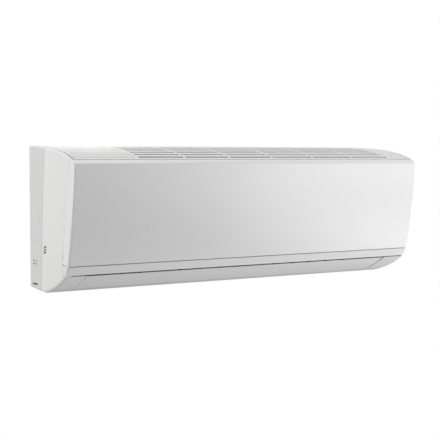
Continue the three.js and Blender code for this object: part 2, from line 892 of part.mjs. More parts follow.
function bottomCover(side) {
  const region = [
    at(outletBack, -beyond),
    at(outletBack, trimBottom / 2),
    at(outletBack + 20, trimBottom),
    at(trimFoot.x - 0.6, trimBottom - 0.5),
    at(trimFoot.x + 6, trimBottom - 6),
    at(trimFoot.x, -beyond),
  ];
  const rim = capRim + 0.7;
  const flapEnd = side === 'left' ? left + flapLeft - 0.6 : right - flapRight + 0.6;
  const span = side === 'left' ? [left + rim, flapEnd] : [flapEnd, right - rim];
  const cover = skin(0, casingWall).intersect(prism(region, ...span));
  const wallOutline = [
    ...offsetLine(bellyLine(trimFoot.x - coverWallInset, outletBack + 1, 6), casingWall / 2),
    ...offsetLine(bellyLine(trimFoot.x - coverWallInset, outletBack + 1, 6), coverWallHeight).reverse(),
  ];
  const wallSpan = side === 'left' ? [flapEnd - 2.4, flapEnd] : [flapEnd, flapEnd + 2.4];
  const eye = prism(circle(flapPivot, 4.6, 14), ...wallSpan);
  const pinHole = prism(circle(flapPivot, flapPin + fit, 14), flapEnd - beyond, flapEnd + beyond);
  let body = joined([cover, prism(wallOutline, ...wallSpan), eye]);
  if (side === 'left') {
    const recess = skin(9, 11).intersect(prism([
      at(outletBack + 12, -beyond),
      at(outletBack + 12, trimBottom),
      at(trimFoot.x - 12, trimBottom + 6),
      at(trimFoot.x - 12, -beyond),
    ], flapEnd - 2.4, ductLeft - partitionWall - fit));
    body = body.add(recess);
  }
  return body.subtract(pinHole);
}

// ---------------------------------------------------------------- front panel and its frame
const frameOuter = panelWall + frameGap;
const frameInner = frameOuter + frameWall;

function frontPanel() {
  const region = [
    at(panelRear, trimBottom),
    ...panelBack(0).slice(0, 7),
    ...noseArc(0, 200, 88),
    at(hinge.x, unitHeight + beyond),
    at(unitDepth + beyond, unitHeight + beyond),
    at(unitDepth + beyond, trimBottom),
  ];
  const faceSkin = skin(0, panelWall).intersect(prism(region, left - beyond, right + beyond));
  let body = faceSkin.subtract(underPanel(0));
  const ribHeights = [trimTop + 14, (trimTop + frontTopEdge.y) / 2, frontTopEdge.y - 22];
  const ribs = ribHeights.map((height) => block(left + 16, right - 16, sideCrest, unitDepth, height, height + 1.6));
  body = body.add(skin(panelWall / 2, panelWall + ribDepth).intersect(joined(ribs)));
  const lugOutline = [
    ...arcPoints(hinge, hingeLug, 120, 300, 8),
    at(unitDepth - panelWall / 2, hinge.y - hingeLug - 2),
    at(unitDepth - panelWall / 2, frontTopEdge.y - panelWall / 2),
    at(hinge.x, topAt(hinge.x) - panelWall / 2),
  ];
  for (const side of [-1, 1]) {
    const lug = prism(lugOutline, ...fromEnd(side, frameInner + fit, frameInner + fit + lugWall));
    const pin = prism(circle(hinge, hingePin, 12), ...fromEnd(side, frameOuter - 0.6, frameInner + 1));
    body = joined([body, lug.intersect(envelope(panelWall / 2)), pin]);
  }
  const finger = joined([-1, 1].map((side) => prism([
    at(panelRear - 4, notchFoot),
    at(panelRear + 5.5, notchFoot),
    at(panelRear + 8, notchHead),
    at(panelRear - 4, notchHead),
  ], ...fromEnd(side, -beyond, capRim))));
  return body.subtract(finger);
}

const windowHead = unitHeight - windowHeadDrop;
const filterSplit = (ductLeft + ductRight) / 2;

function frontFrame() {
  const sheetRegion = [
    at(panelRear - 30, trimTop + 2),
    at(unitDepth + beyond, trimTop + 2),
    at(unitDepth + beyond, unitHeight - frameShelfDrop),
    at(unitDepth - panelShoulderSetback - 24, unitHeight - frameShelfDrop),
  ];
  let body = skin(frameOuter, frameInner).intersect(prism(sheetRegion, left - beyond, right + beyond));
  const shelfRear = hinge.x - nose - 3;
  const frameEnd = left + frameOuter + 1;
  const shelf = block(
    frameEnd,
    -frameEnd,
    shelfRear,
    frontAt(unitHeight - frameShelfDrop) - frameOuter - frameWall / 2,
    unitHeight - frameShelfDrop - 2.4,
    unitHeight - frameShelfDrop,
  );
  const flange = prism([
    at(shelfRear, unitHeight - frameShelfDrop - 2.4),
    at(shelfRear + 2, unitHeight - frameShelfDrop - 2.4),
    at(shelfRear + 2, topAt(shelfRear + 2) - casingWall - fit),
    at(shelfRear, topAt(shelfRear) - casingWall - fit),
  ], frameEnd, -frameEnd);
  const foot = block(
    frameEnd,
    -frameEnd,
    ductTop[1].x + 3,
    frontAt(trimTop + 2) - frameOuter - frameWall / 2,
    trimTop - seam + fit,
    trimTop + 3.4,
  );
  body = joined([body, shelf, flange, foot]);
  for (const side of [-1, 1]) {
    const span = fromEnd(side, frameOuter, frameInner);
    const eye = joined([
      prism(circle(hinge, hingeEye, 14), ...span),
      prism([
        at(shelfRear, unitHeight - frameShelfDrop - 2),
        at(hinge.x + hingeEye, unitHeight - frameShelfDrop - 2),
        at(hinge.x + hingeEye, hinge.y),
        at(hinge.x - hingeEye, hinge.y),
        at(hinge.x - hingeEye, hinge.y - 6),
        at(shelfRear, hinge.y - 9),
      ], ...span),
    ]);
    body = body.add(eye).subtract(prism(circle(hinge, hingePin + fit, 14), span[0] - beyond, span[1] + beyond));
  }
  const window = (from, to) => block(from, to, sideCrest, unitDepth, windowFoot, windowHead);
  const windows = window(ductLeft + windowSideMargin, filterSplit - windowMullion / 2)
    .add(window(filterSplit + windowMullion / 2, ductRight - windowSideMargin));
  return body.subtract(windows).subtract(buttonHole()).subtract(receiverWindow(fit));
}

// ---------------------------------------------------------------- receiver and button behind the panel
const buttonPoint = at(frontAt(buttonHeight), buttonHeight);
const frontSlope = at(frontAt(buttonHeight + 5) - frontAt(buttonHeight - 5), 10).normalize();
const frontNormal = rightOf(frontSlope);
const buttonX = right - buttonFromEnd;

const alongNormal = (x, radius, from, to) => raised(
  circle(at(x, 0), radius, 12),
  buttonPoint,
  frontNormal,
  from,
  to,
);

function buttonHole() {
  return alongNormal(buttonX, buttonRadius + fit, -frameInner - 6, 0);
}

function receiverWindow(gap) {
  const x = right - receiverLeft + 10;
  return block(x - 7 - gap, x + 7 + gap, panelRear, unitDepth, receiverFoot + 12 - gap, receiverFoot + 20 + gap);
}

function receiverBoard() {
  const region = block(right - receiverLeft, right - receiverRight, panelRear, unitDepth, receiverFoot, receiverHead);
  const board = skin(receiverInset, receiverInset + boardWall).intersect(region);
  const lens = skin(frameOuter + 0.8, receiverInset + 0.5).intersect(receiverWindow(0));
  const spacerX = right - receiverLeft + 2;
  const spacer = skin(frameInner + fit, receiverInset + 0.5)
    .intersect(block(spacerX, spacerX + 6, panelRear, unitDepth, receiverHead - 8, receiverHead - 2));
  const pressTop = frameInner + 2.6 + buttonTravel + 0.5;
  const key = alongNormal(buttonX, 2.6, -receiverInset - 0.6, -pressTop);
  return joined([board, lens, spacer, key]);
}

function manualButton() {
  const cap = alongNormal(buttonX, buttonRadius, -frameInner - 2.4, -frameOuter + buttonProud);
  const collar = alongNormal(buttonX, buttonRadius + 1.8, -frameInner - 2.4, -frameInner - 0.9);
  return cap.add(collar);
}

// ---------------------------------------------------------------- filters
const filterBendCentre = along(filterTurn, filterOut, -filterBendRadius);

function filterLine() {
  const startAngle = THREE.MathUtils.radToDeg(Math.atan2(filterOut.y, filterOut.x));
  return [
    filterLow,
    ...arcPoints(filterBendCentre, filterBendRadius, startAngle, 90, 3),
    at(coilApex.x + 7, filterBendCentre.y + filterBendRadius),
  ];
}

function filterScreen(from, to) {
  const band = (thickness) => bandOutline(offsetLine(filterLine(), -thickness / 2), thickness);
  const bars = [];
  for (let i = 0; i < filterRibs; i += 1) {
    const x = from + ((to - from - filterRimWidth) * i) / (filterRibs - 1);
    bars.push(prism(band(filterRim), x, x + filterRimWidth / (i > 0 && i < filterRibs - 1 ? 2 : 1)));
  }
  const rail = (centre, direction) => {
    const half = filterRim / 2;
    const ahead = along(centre, direction, 2.5);
    const behind = along(centre, direction, -2.5);
    const out = rightOf(direction);
    return prism([along(behind, out, -half), along(ahead, out, -half), along(ahead, out, half), along(behind, out, half)], from, to);
  };
  const rails = [
    rail(along(filterLow, filterRise, 2.6), filterRise),
    rail(along(filterLow, filterRise, filterLow.distanceTo(filterTurn) * 0.5), filterRise),
    rail(at(coilApex.x + 9.6, filterBendCentre.y + filterBendRadius), at(-1, 0)),
  ];
  const middle = (from + to) / 2;
  const tabFoot = along(filterLow, filterRise, (windowFoot + filterGap + 1 - filterLow.y) / filterRise.y);
  const tab = prism([
    along(tabFoot, filterOut, 0),
    along(tabFoot, filterOut, filterRim / 2 + tabReach),
    along(along(tabFoot, filterRise, 2), filterOut, filterRim / 2 + tabReach),
    along(along(tabFoot, filterRise, 9), filterOut, 0),
  ], middle - tabWidth / 2, middle + tabWidth / 2);
  return joined([prism(band(filterNet), from + 1, to - 1), ...bars, ...rails, tab]);
}

// ---------------------------------------------------------------- heat exchanger
// Each slab starts at one end of its middle line and runs to the right of its outward normal.
const slabs = {
  lower: { start: coilLowerEnd, out: filterOut, length: coilLowerLength },
  upper: { start: coilApex, out: rightOf(upperRise), length: coilApex.distanceTo(coilKnee) },
  rear: { start: rearCoilLow, out: rearOut, length: rearCoilLength },
};
const slabPoint = (slab, distance) => along(slab.start, rightOf(slab.out), distance);
const coilLeft = ductLeft - partitionWall - coilOverhang;
const coilRight = ductRight + partitionWall + coilOverhang;

// Fins stand on the tube block as the teeth of a comb.
function coilSlab(slab) {
  const outline = [at(coilLeft, -coilThickness / 2), at(coilRight, -coilThickness / 2)];
  const root = coilThickness / 2 - finDepth;
  const tip = coilThickness / 2;
  const count = Math.floor((coilRight - coilLeft - finWidth) / finPitch);
  const firstFin = (coilLeft + coilRight) / 2 - (count * finPitch) / 2;
  outline.push(at(coilRight, root));
  for (let i = count; i >= 0; i -= 1) {
    const x = firstFin + i * finPitch;
    outline.push(at(x + finWidth / 2, root), at(x + finWidth / 2, tip), at(x - finWidth / 2, tip), at(x - finWidth / 2, root));
  }
  outline.push(at(coilLeft, root));
  return slabPrism(outline, slab.start, slab.out, slab.length);
}

// Centre of a tube: rows lie either side of the slab's middle.
function tubeCentre(slab, index, row) {
  const pitch = slab.length / tubesPerRow;
  return along(slabPoint(slab, pitch * (index + 0.5)), slab.out, (row * tubeRow) / 2);
}

function coilEnd(side) {
  const sign = side === 'left' ? -1 : 1;
  const face = side === 'left' ? coilLeft - fit : coilRight + fit;
  const span = (from, to) => [Math.min(face + sign * from, face + sign * to), Math.max(face + sign * from, face + sign * to)];
  const half = coilThickness / 2 - 1;
  const plates = Object.values(slabs).map((slab) => {
    const low = slabPoint(slab, slab.length - 1);
    const high = slabPoint(slab, 1);
    return prism([
      along(low, slab.out, -half),
      along(low, slab.out, half),
      along(high, slab.out, half),
      along(high, slab.out, -half),
    ], ...span(0, endPlate));
  });
  const tie = (a, b) => {
    const direction = b.clone().sub(a).normalize();
    const out = rightOf(direction);
    return prism([along(a, out, -6), along(b, out, -6), along(b, out, 6), along(a, out, 6)], ...span(0, endPlate));
  };
  plates.push(tie(slabPoint(slabs.lower, 4), slabPoint(slabs.upper, slabs.upper.length - 4)));
  plates.push(tie(slabPoint(slabs.upper, 4), slabPoint(slabs.rear, rearCoilLength - 4)));
  const bends = [];
  for (const [name, slab] of Object.entries(slabs)) {
    for (let index = 0; index < tubesPerRow; index += 1) {
      const headers = side === 'left' && name === 'lower' && index === tubesPerRow - 1;
      if (!headers) {
        const from = tubeCentre(slab, index, -1);
        const to = tubeCentre(slab, index, 1);
        const root = face + sign * (endPlate / 2);
        const end = face + sign * (endPlate + bendReach);
        const corners = [
          new THREE.Vector3(root, -from.x, from.y),
          new THREE.Vector3(end, -from.x, from.y),
          new THREE.Vector3(end, -to.x, to.y),
          new THREE.Vector3(root, -to.x, to.y),
        ];
        bends.push(bentTube(corners, tubeRow / 2 - 0.2, tubeRadius, 5, 2));
      }
    }
  }
  return joined([...plates, ...bends]);
}

// ---------------------------------------------------------------- drain pan
function drainPan() {
  const panEnd = coilOverhang + partitionWall + endPlate + bendReach + 4;
  const trough = [
    at(troughRear, panFloor),
    at(troughRear, panFloor + panDepth + 3),
    at(troughRear + panWall, panFloor + panDepth + 3),
    at(troughRear + panWall, panFloor + panWall),
    at(troughFront - panWall, panFloor + panWall),
    at(troughFront - panWall, panFloor + panDepth),
    at(troughFront, panFloor + panDepth),
    at(troughFront, panFloor),
  ];
  const duct = bandOutline(ductTop, -panWall);
  const ends = [ductLeft - panEnd, ductRight + panEnd].map((x, i) => {
    const start = i === 0 ? x : x - panWall;
    return block(start, start + panWall, troughRear, troughFront, panFloor, panFloor + panDepth);
  });
  const spoutCentre = at((troughRear + troughFront) / 2, panFloor + 7);
  const spoutOut = prism(circle(spoutCentre, 6, 10), ductRight + panEnd - 1, ductRight + panEnd + 12);
  const spoutBore = prism(circle(spoutCentre, 4.2, 10), ductRight + panEnd - 5, ductRight + panEnd + 20);
  return joined([
    prism(trough, ductLeft - panEnd, ductRight + panEnd),
    prism(duct, ductLeft + fit, ductRight - fit),
    ...ends,
    spoutOut,
  ]).subtract(spoutBore);
}

function drainPlug() {
  const panEnd = coilOverhang + partitionWall + endPlate + bendReach + 4;
  const spoutCentre = at((troughRear + troughFront) / 2, panFloor + 7);
  const mouth = ductRight + panEnd + 12;
  return joined([
    prism(circle(spoutCentre, 4.2 - fit, 10), mouth - 9, mouth + 1),
    prism(circle(spoutCentre, 7, 10), mouth + fit, mouth + 3.5),
  ]);
}

// ---------------------------------------------------------------- cross-flow fan
const fanLeft = ductLeft + fanEndGap;
const fanRight = ductRight - fanEndGap;

function bladeOutline() {
  const inner = fanRadius - bladeDepth;
  const outer = fanRadius - 0.7;
  const centre = at(0, 0);
  const curve = new THREE.QuadraticBezierCurve(
    polar(centre, inner, 0),
    polar(centre, inner + bladeDepth * 0.55, bladeSweep * 0.1),
    polar(centre, outer, bladeSweep),
  );
  return bandOutline(offsetLine(curve.getPoints(2), -bladeThickness / 2), bladeThickness);
}

function turned(outline, degrees) {
  const centre = at(0, 0);
  return outline.map((point) => point.clone().rotateAround(centre, THREE.MathUtils.degToRad(degrees)));
}

function crossFlowFan() {
  const centre = at(0, 0);
  const blades = [];
  for (let i = 0; i < bladeCount; i += 1) {
    blades.push(prism(turned(bladeOutline(), (360 * i) / bladeCount), fanLeft + 1, fanRight - 1));
  }
  const ring = (x) => prism(
    circle(centre, fanRadius, bladeCount),
    x,
    x + fanRingWidth,
    [circle(centre, fanRadius - fanRingDepth, bladeCount)],
  );
  const rings = [];
  for (let i = 1; i <= fanRings; i += 1) {
    rings.push(ring(fanLeft + ((fanRight - fanLeft) * i) / (fanRings + 1) - fanRingWidth / 2));
  }
  const disc = (x) => prism(circle(centre, fanRadius, bladeCount), x, x + fanRingWidth);
  const hub = prism(circle(centre, hubRadius, 16), fanLeft, fanLeft + hubLength);
  const bore = prism(circle(centre, shaftRadius + fit, 12), fanLeft - 1, fanLeft + hubLength - 4);
  const stub = prism(circle(centre, shaftRadius, 10), fanRight - 2, ductRight + bushLength);
  return joined([...blades, ...rings, disc(fanLeft), disc(fanRight - fanRingWidth), hub, stub]).subtract(bore);
}

function fanShaft() {
  const start = ductLeft - motorGap - motorLength - 6;
  return prism(circle(at(0, 0), shaftRadius, 10), start, fanLeft + hubLength - 5);
}

function fanMotor() {
  const end = ductLeft - motorGap;
  const start = end - motorLength;
  const centre = at(0, 0);
  return joined([
    prism(circle(centre, motorRadius, 18), start + 4, end - 4),
    prism(circle(centre, motorRadius - 6, 18), start + 1, end - 1),
    prism(circle(centre, 12, 10), start - 3, end + 3),
  ]).subtract(prism(circle(centre, shaftRadius + fit, 10), start - beyond, end + beyond));
}

function motorClamp() {
  const middle = ductLeft - motorGap - motorLength / 2;
  const steps = 10;
  const from = -24;
  const to = 128;
  const clear = (motorRadius + fit) / Math.cos(THREE.MathUtils.degToRad((to - from) / steps / 2));
  const strap = [
    ...arcPoints(at(0, 0), clear + clampWall, from, to, steps),
    ...arcPoints(at(0, 0), clear, to, from, steps),
  ];
  return prism(strap, middle - clampWidth / 2, middle + clampWidth / 2);
}

function bearingBush() {
  const centre = at(0, 0);
  return prism(circle(centre, bushRadius, 14), ductRight - 1, ductRight + bushLength)
    .add(prism(circle(centre, bushFlange, 14), ductRight + partitionWall + fit, ductRight + bushLength))
    .subtract(prism(circle(centre, shaftRadius + fit, 10), ductRight - beyond, ductRight + beyond));
}

// ---------------------------------------------------------------- flap and vanes
function louverFlap() {
  const from = left + flapLeft;
  const to = right - flapRight;
  const outer = bellyLine(trimFoot.x - flapInset, outletBack + flapInset, 9);
  const inner = offsetLine(outer, 1).map((point, i) => {
    const share = i / (outer.length - 1);
    const thickness = flapWall + flapSwell * Math.sin(Math.PI * share);
    return outer[i].clone().lerp(point, thickness);
  });
  const underTrim = block(from - 1, to + 1, outletBack, unitDepth, trimBottom - seam, unitHeight / 2);
  const blade = prism([...outer, ...inner.reverse()], from, to).subtract(underTrim);
  const bead = prism([
    ...arcPoints(flapPivot, flapBead, 180, 0, 7),
    at(flapPivot.x + flapBead, bellyAt(flapPivot.x + flapBead) + flapWall / 2),
    at(flapPivot.x - flapBead, bellyAt(flapPivot.x - flapBead) + flapWall / 2),
  ], from, to);
  const pins = prism(circle(flapPivot, flapPin, 12), from - flapPinLength, to + flapDriveLength);
  return joined([blade, bead, pins]);
}

const vaneFoot = along(scrollFoot, ductRun, vaneAlong);
const gangCentre = (ductLeft + ductRight) / 2;
const vaneX = (index) => gangCentre + (index - vanesPerGang + 0.5) * vanePitch;

// A vane is drawn at the origin: length across, -y along the stream, z out from the duct wall.
function vane() {
  const base = stripWall + 2 * fit;
  const blade = new THREE.Shape([
    at(-vaneFront, base),
    at(vaneRear, base),
    at(vaneRear - 3, vaneHeight),
    at(-vaneFront + 5, vaneHeight),
    at(-vaneFront, vaneHeight - 12),
  ]);
  const plate = new THREE.ExtrudeGeometry(blade, { depth: vaneWall, bevelEnabled: false });
  plate.applyMatrix4(new THREE.Matrix4().makeBasis(
    new THREE.Vector3(0, 1, 0),
    new THREE.Vector3(0, 0, 1),
    new THREE.Vector3(1, 0, 0),
  ).setPosition(-vaneWall / 2, 0, 0));
  const upright = (x, y, radius, from, to) => {
    const geometry = new THREE.CylinderGeometry(radius, radius, to - from, 6);
    geometry.rotateX(Math.PI / 2);
    geometry.translate(x, y, (from + to) / 2);
    return solid(geometry);
  };
  return joined([
    solid(plate),
    upright(0, 0, vaneStem, 0.8, base + 6),
    upright(0, linkPinBack, linkPin, vaneHeight - 5, vaneHeight + linkWall + 0.6),
  ]);
}

// Turns a piece drawn at the origin so that its z runs out from the duct wall and its -y along the stream.
function onDuctWall(mesh, x) {
  const basis = new THREE.Matrix4().makeBasis(
    new THREE.Vector3(1, 0, 0),
    new THREE.Vector3(0, ductRun.x, -ductRun.y),
    new THREE.Vector3(0, -ductOut.x, ductOut.y),
  );
  mesh.quaternion.setFromRotationMatrix(basis);
  mesh.position.set(x, -vaneFoot.x, vaneFoot.y);
}

function extrudedStrip(length, width, wall, holeRadius, centre, holes) {
  const outline = rectangle(-length / 2, length / 2, centre - width / 2, centre + width / 2);
  const shape = new THREE.Shape(outline);
  for (const x of holes) {
    shape.holes.push(new THREE.Path(circle(at(x, centre), holeRadius, 6)));
  }
  return new THREE.ExtrudeGeometry(shape, { depth: wall, bevelEnabled: false });
}

const gangPlaces = Array.from({ length: vanesPerGang }, (_, i) => (i - (vanesPerGang - 1) / 2) * vanePitch);
const gangLength = (vanesPerGang - 1) * vanePitch;

function vaneStrip() {
  const geometry = extrudedStrip(gangLength + stripMargin, stripWidth, stripWall, vaneStem + 2 * fit, 0, gangPlaces);
  return solid(geometry.translate(0, 0, fit));
}

function linkBar() {
  const geometry = extrudedStrip(gangLength + 8, linkWidth, linkWall, linkPin + 2 * fit, linkPinBack, gangPlaces);
  return solid(geometry.translate(0, 0, vaneHeight + fit));
}

// ---------------------------------------------------------------- electrics
const boxLeft = left + boxLeftGap;
const boxRight = ductLeft - boxRightGap;
const boxBack = fan.x + motorRadius + boxMotorGap;
const boxFront = frontAt(boxFoot) - frameInner - boxFrontGap - boxWall - 4;

function controlBox() {
  const outer = block(boxLeft, boxRight, boxBack, boxFront, boxFoot, boxHead);
  const inner = block(
    boxLeft + boxWall,
    boxRight - boxWall,
    boxBack + boxWall,
    boxFront + beyond,
    boxFoot + boxWall,
    boxHead - boxWall,
  );
  return outer.subtract(inner);
}

function controlBoxCover() {
  const lid = block(boxLeft - 1.5, boxRight + 1.5, boxFront + fit, boxFront + fit + boxWall, boxFoot - 1.5, boxHead + 1.5);
  const skirt = block(
    boxLeft + boxWall + fit,
    boxRight - boxWall - fit,
    boxFront - 5,
    boxFront + fit + 1,
    boxFoot + boxWall + fit,
    boxHead - boxWall - fit,
  ).subtract(block(
    boxLeft + boxWall + 2,
    boxRight - boxWall - 2,
    boxFront - 6,
    boxFront + fit,
    boxFoot + boxWall + 2,
    boxHead - boxWall - 2,
  ));
  return lid.add(skirt);
}

const boardDepth = () => boxBack + boxWall + fit + 3;

function mainBoard() {
  const x0 = boxLeft + boxWall + 2;
  const x1 = boxRight - boxWall - 2;
  const face = boardDepth() + boardWall;
  const board = block(x0, x1, boardDepth(), face, boxFoot + 44, boxHead - 6);
  const feet = [x0 + 4, x1 - 8].map((x) => block(x, x + 4, boxBack + boxWall + fit, face - 0.5, boxHead - 16, boxHead - 12));
  const tall = Math.min(14, boxFront - 6 - face);
  const capacitor = facing(circle(at(x0 + 16, boxHead - 26), 9, 14), face - 0.5, face + tall);
  const relay = block(x1 - 24, x1 - 8, face - 0.5, face + tall * 0.8, boxHead - 34, boxHead - 14);
  const transformer = block(x1 - 40, x1 - 8, face - 0.5, face + tall, boxFoot + 52, boxFoot + 78);
  const chip = block(x0 + 30, x0 + 46, face - 0.5, face + 2.2, boxFoot + 90, boxFoot + 106);
  return joined([board, ...feet, capacitor, relay, transformer, chip]);
}

function terminalBlock() {
  const x0 = boxLeft + boxWall + 14;
  const wide = 54;
  const back = boxBack + boxWall + fit;
  const body = block(x0, x0 + wide, back, back + 12, boxFoot + 12, boxFoot + 34);
  const slots = [];
  for (let i = 0; i < 4; i += 1) {
    const x = x0 + 2 + i * 13;
    slots.push(block(x, x + 11, back + 7, back + 20, boxFoot + 8, boxFoot + 20));
  }
  return body.subtract(joined(slots));
}

function flapMotor() {
  const start = right - flapRight + 0.6 + 2.4 + fit;
  const centre = at(flapPivot.x + 6, flapPivot.y + 12.5);
  const body = prism(circle(centre, flapMotorRadius, 14), start, start + flapMotorLength);
  const nosePiece = prism(circle(flapPivot, flapPin + 1.7, 10), start, start + 7);
  const web = prism([
    at(flapPivot.x - 2, flapPivot.y),
    at(flapPivot.x + 4, flapPivot.y - 1),
    at(centre.x + 4, centre.y),
    at(centre.x - 4, centre.y),
  ], start, start + 7);
  const bore = prism(circle(flapPivot, flapPin + fit, 10), start - 2, start + 6);
  return joined([body, nosePiece, web]).subtract(bore);
}

// ---------------------------------------------------------------- refrigerant lines
const lineStart = coilLeft - fit - endPlate - fit;
const lineEnd = ductLeft + lineRun;

function coolantLine(row, drop, fall, height, radius) {
  const tube = tubeCentre(slabs.lower, tubesPerRow - 1, row);
  const fallX = ductLeft - drop;
  const depth = gasLineDepth;
  const corners = [
    new THREE.Vector3(lineStart, -tube.x, tube.y),
    new THREE.Vector3(fallX, -tube.x, tube.y),
    new THREE.Vector3(fallX, -tube.x, fall),
    new THREE.Vector3(fallX, -depth, height),
    new THREE.Vector3(lineEnd, -depth, height),
  ];
  return bentTube(corners, Math.min(lineBend, (lineStart - fallX) * 0.9), radius, 7, 3);
}

function flareNut(tube) {
  const across = tube + 4.2;
  const centre = at(0, 0);
  return prism(circle(centre, across, 6), 0, flareLength * 0.7)
    .add(prism(circle(centre, tube + 1.8, 8), 0, flareLength))
    .subtract(prism(circle(centre, tube + fit + 0.2, 8), -beyond, beyond));
}

function pipeClamp() {
  const outline = [
    at(gasLineDepth - 10, rearLift + casingWall + 1.4),
    at(gasLineDepth + 12, rearLift + casingWall + 1.4),
    at(gasLineDepth + 12, gasLineHeight + 9),
    at(gasLineDepth - 10, gasLineHeight + 9),
  ];
  const x = ductLeft + lineRun * 0.45;
  return prism(outline, x, x + 9, [
    circle(at(gasLineDepth, gasLineHeight), gasRadius + fit, 12),
    circle(at(gasLineDepth, liquidLineHeight), liquidRadius + fit, 12),
  ]);
}

// ---------------------------------------------------------------- wall plate
function wallPlate() {
  const half = plateLength / 2;
  const holes = [];
  for (const x of [-half + 30, -half / 2, half / 2, half - 30]) {
    for (const height of [plateFoot + 50, plateHead - 22]) {
      holes.push(circle(at(x, height), anchorHole, 8));
    }
  }
  const corner = 14;
  const sheet = facing([
    at(-half + corner, plateFoot),
    at(half - corner, plateFoot),
    at(half, plateFoot + corner),
    at(half, plateHead - corner),
    at(half - corner, plateHead),
    at(-half + corner, plateHead),
    at(-half, plateHead - corner),
    at(-half, plateFoot + corner),
  ], 0, plateWall, holes);
  const bead = (height) => block(-half + 22, half - 22, plateWall / 2, plateWall + plateRib, height, height + 9);
  const hooks = [-1, 0, 1].map((i) => {
    const x = i * hookPitch;
    return prism([
      at(0, plateHead - 6),
      at(hookReach, plateHead - 6),
      at(hookReach, plateHead + hookRise),
      at(hookReach - plateWall, plateHead + hookRise),
      at(hookReach - plateWall, plateHead - 6 + plateWall),
      at(0, plateHead - 6 + plateWall),
    ], x - hookWidth / 2, x + hookWidth / 2);
  });
  const clipFoot = rearLift + casingWall + 1.2;
  const clips = [-1, 1].map((i) => prism([
    at(0, plateFoot + 8),
    at(0, clipFoot),
    at(9, clipFoot),
    at(9, clipFoot + plateWall),
    at(plateWall, clipFoot + plateWall),
    at(plateWall, plateFoot + 8),
  ], i * hookPitch - 12, i * hookPitch + 12));
  return joined([sheet, bead(plateFoot + 70), bead(plateHead - 50), ...hooks, ...clips]);
}

// ---------------------------------------------------------------- assembly
part('wall_plate', wallPlate(), zinc);
part('rear_chassis', rearChassis(), basePlastic);
part('front_frame', frontFrame(), whitePlastic);
part('left_end_cap', endCap(-1), whitePlastic);
part('right_end_cap', endCap(1), whitePlastic);
part('inlet_grille', inletGrille(), whitePlastic);
part('lower_trim', lowerTrim(), whitePlastic);
part('bottom_cover_left', bottomCover('left'), whitePlastic);
part('bottom_cover_right', bottomCover('right'), whitePlastic);
part('drain_pan', drainPan(), basePlastic);
part('drain_plug', drainPlug(), rubber);
part('coil_lower', coilSlab(slabs.lower), fins);
part('coil_upper', coilSlab(slabs.upper), fins);
part('coil_rear', coilSlab(slabs.rear), fins);
part('coil_end_left', coilEnd('left'), copper);
part('coil_end_right', coilEnd('right'), copper);
part('gas_pipe', coolantLine(-1, gasDrop, gasFall, gasLineHeight, gasRadius), copper);
part('liquid_pipe', coolantLine(1, liquidDrop, liquidFall, liquidLineHeight, liquidRadius), copper);
part('gas_flare_nut', flareNut(gasRadius), brass, new THREE.Vector3(lineEnd - 8, -gasLineDepth, gasLineHeight));
part('liquid_flare_nut', flareNut(liquidRadius), brass, new THREE.Vector3(lineEnd - 8, -gasLineDepth, liquidLineHeight));
part('pipe_clamp', pipeClamp(), whitePlastic);
part('control_box', controlBox(), basePlastic);
part('control_box_cover', controlBoxCover(), basePlastic);
part('main_board', mainBoard(), boardGreen);
part('terminal_block', terminalBlock(), whitePlastic);
const fanAxis = new THREE.Vector3(0, -fan.x, fan.y);
part('fan_motor', fanMotor(), zinc, fanAxis);
part('motor_clamp', motorClamp(), basePlastic, fanAxis);
part('bearing_bush', bearingBush(), rubber, fanAxis);
part('cross_flow_fan', crossFlowFan(), fanPlastic, fanAxis);
part('fan_shaft', fanShaft(), steel, fanAxis);
part('flap_motor', flapMotor(), zinc);
part('receiver_board', receiverBoard(), boardGreen);
part('manual_button', manualButton(), whitePlastic);
part('front_panel', frontPanel(), glossPanel);
part('louver_flap', louverFlap(), whitePlastic);
part('filter_left', filterScreen(ductLeft + 3, filterSplit - 1.5), filterPlastic);
part('filter_right', filterScreen(filterSplit + 1.5, ductRight - 3), filterPlastic);
const vaneBody = vane();
for (let i = 0; i < 2 * vanesPerGang; i += 1) {
  onDuctWall(part(`vane_${i + 1}`, vaneBody, darkPlastic), vaneX(i));
}
for (const [side, sign] of [['left', -1], ['right', 1]]) {
  const x = gangCentre + (sign * vanesPerGang * vanePitch) / 2;
  onDuctWall(part(`vane_strip_${side}`, vaneStrip(), whitePlastic), x);
  onDuctWall(part(`link_bar_${side}`, linkBar(), darkPlastic), x);
}

unit.position.z = -unitHeight / 2;
const model = new THREE.Group();
model.add(unit);

export default model;
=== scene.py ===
# Indoor unit of a split air conditioner: a smooth casing, fine inner parts and finishes
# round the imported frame. A section is drawn as (depth out from the wall, height above
# the underside), in millimetres.
import json
import math

import bmesh
import bpy
from mathutils import Matrix, Vector


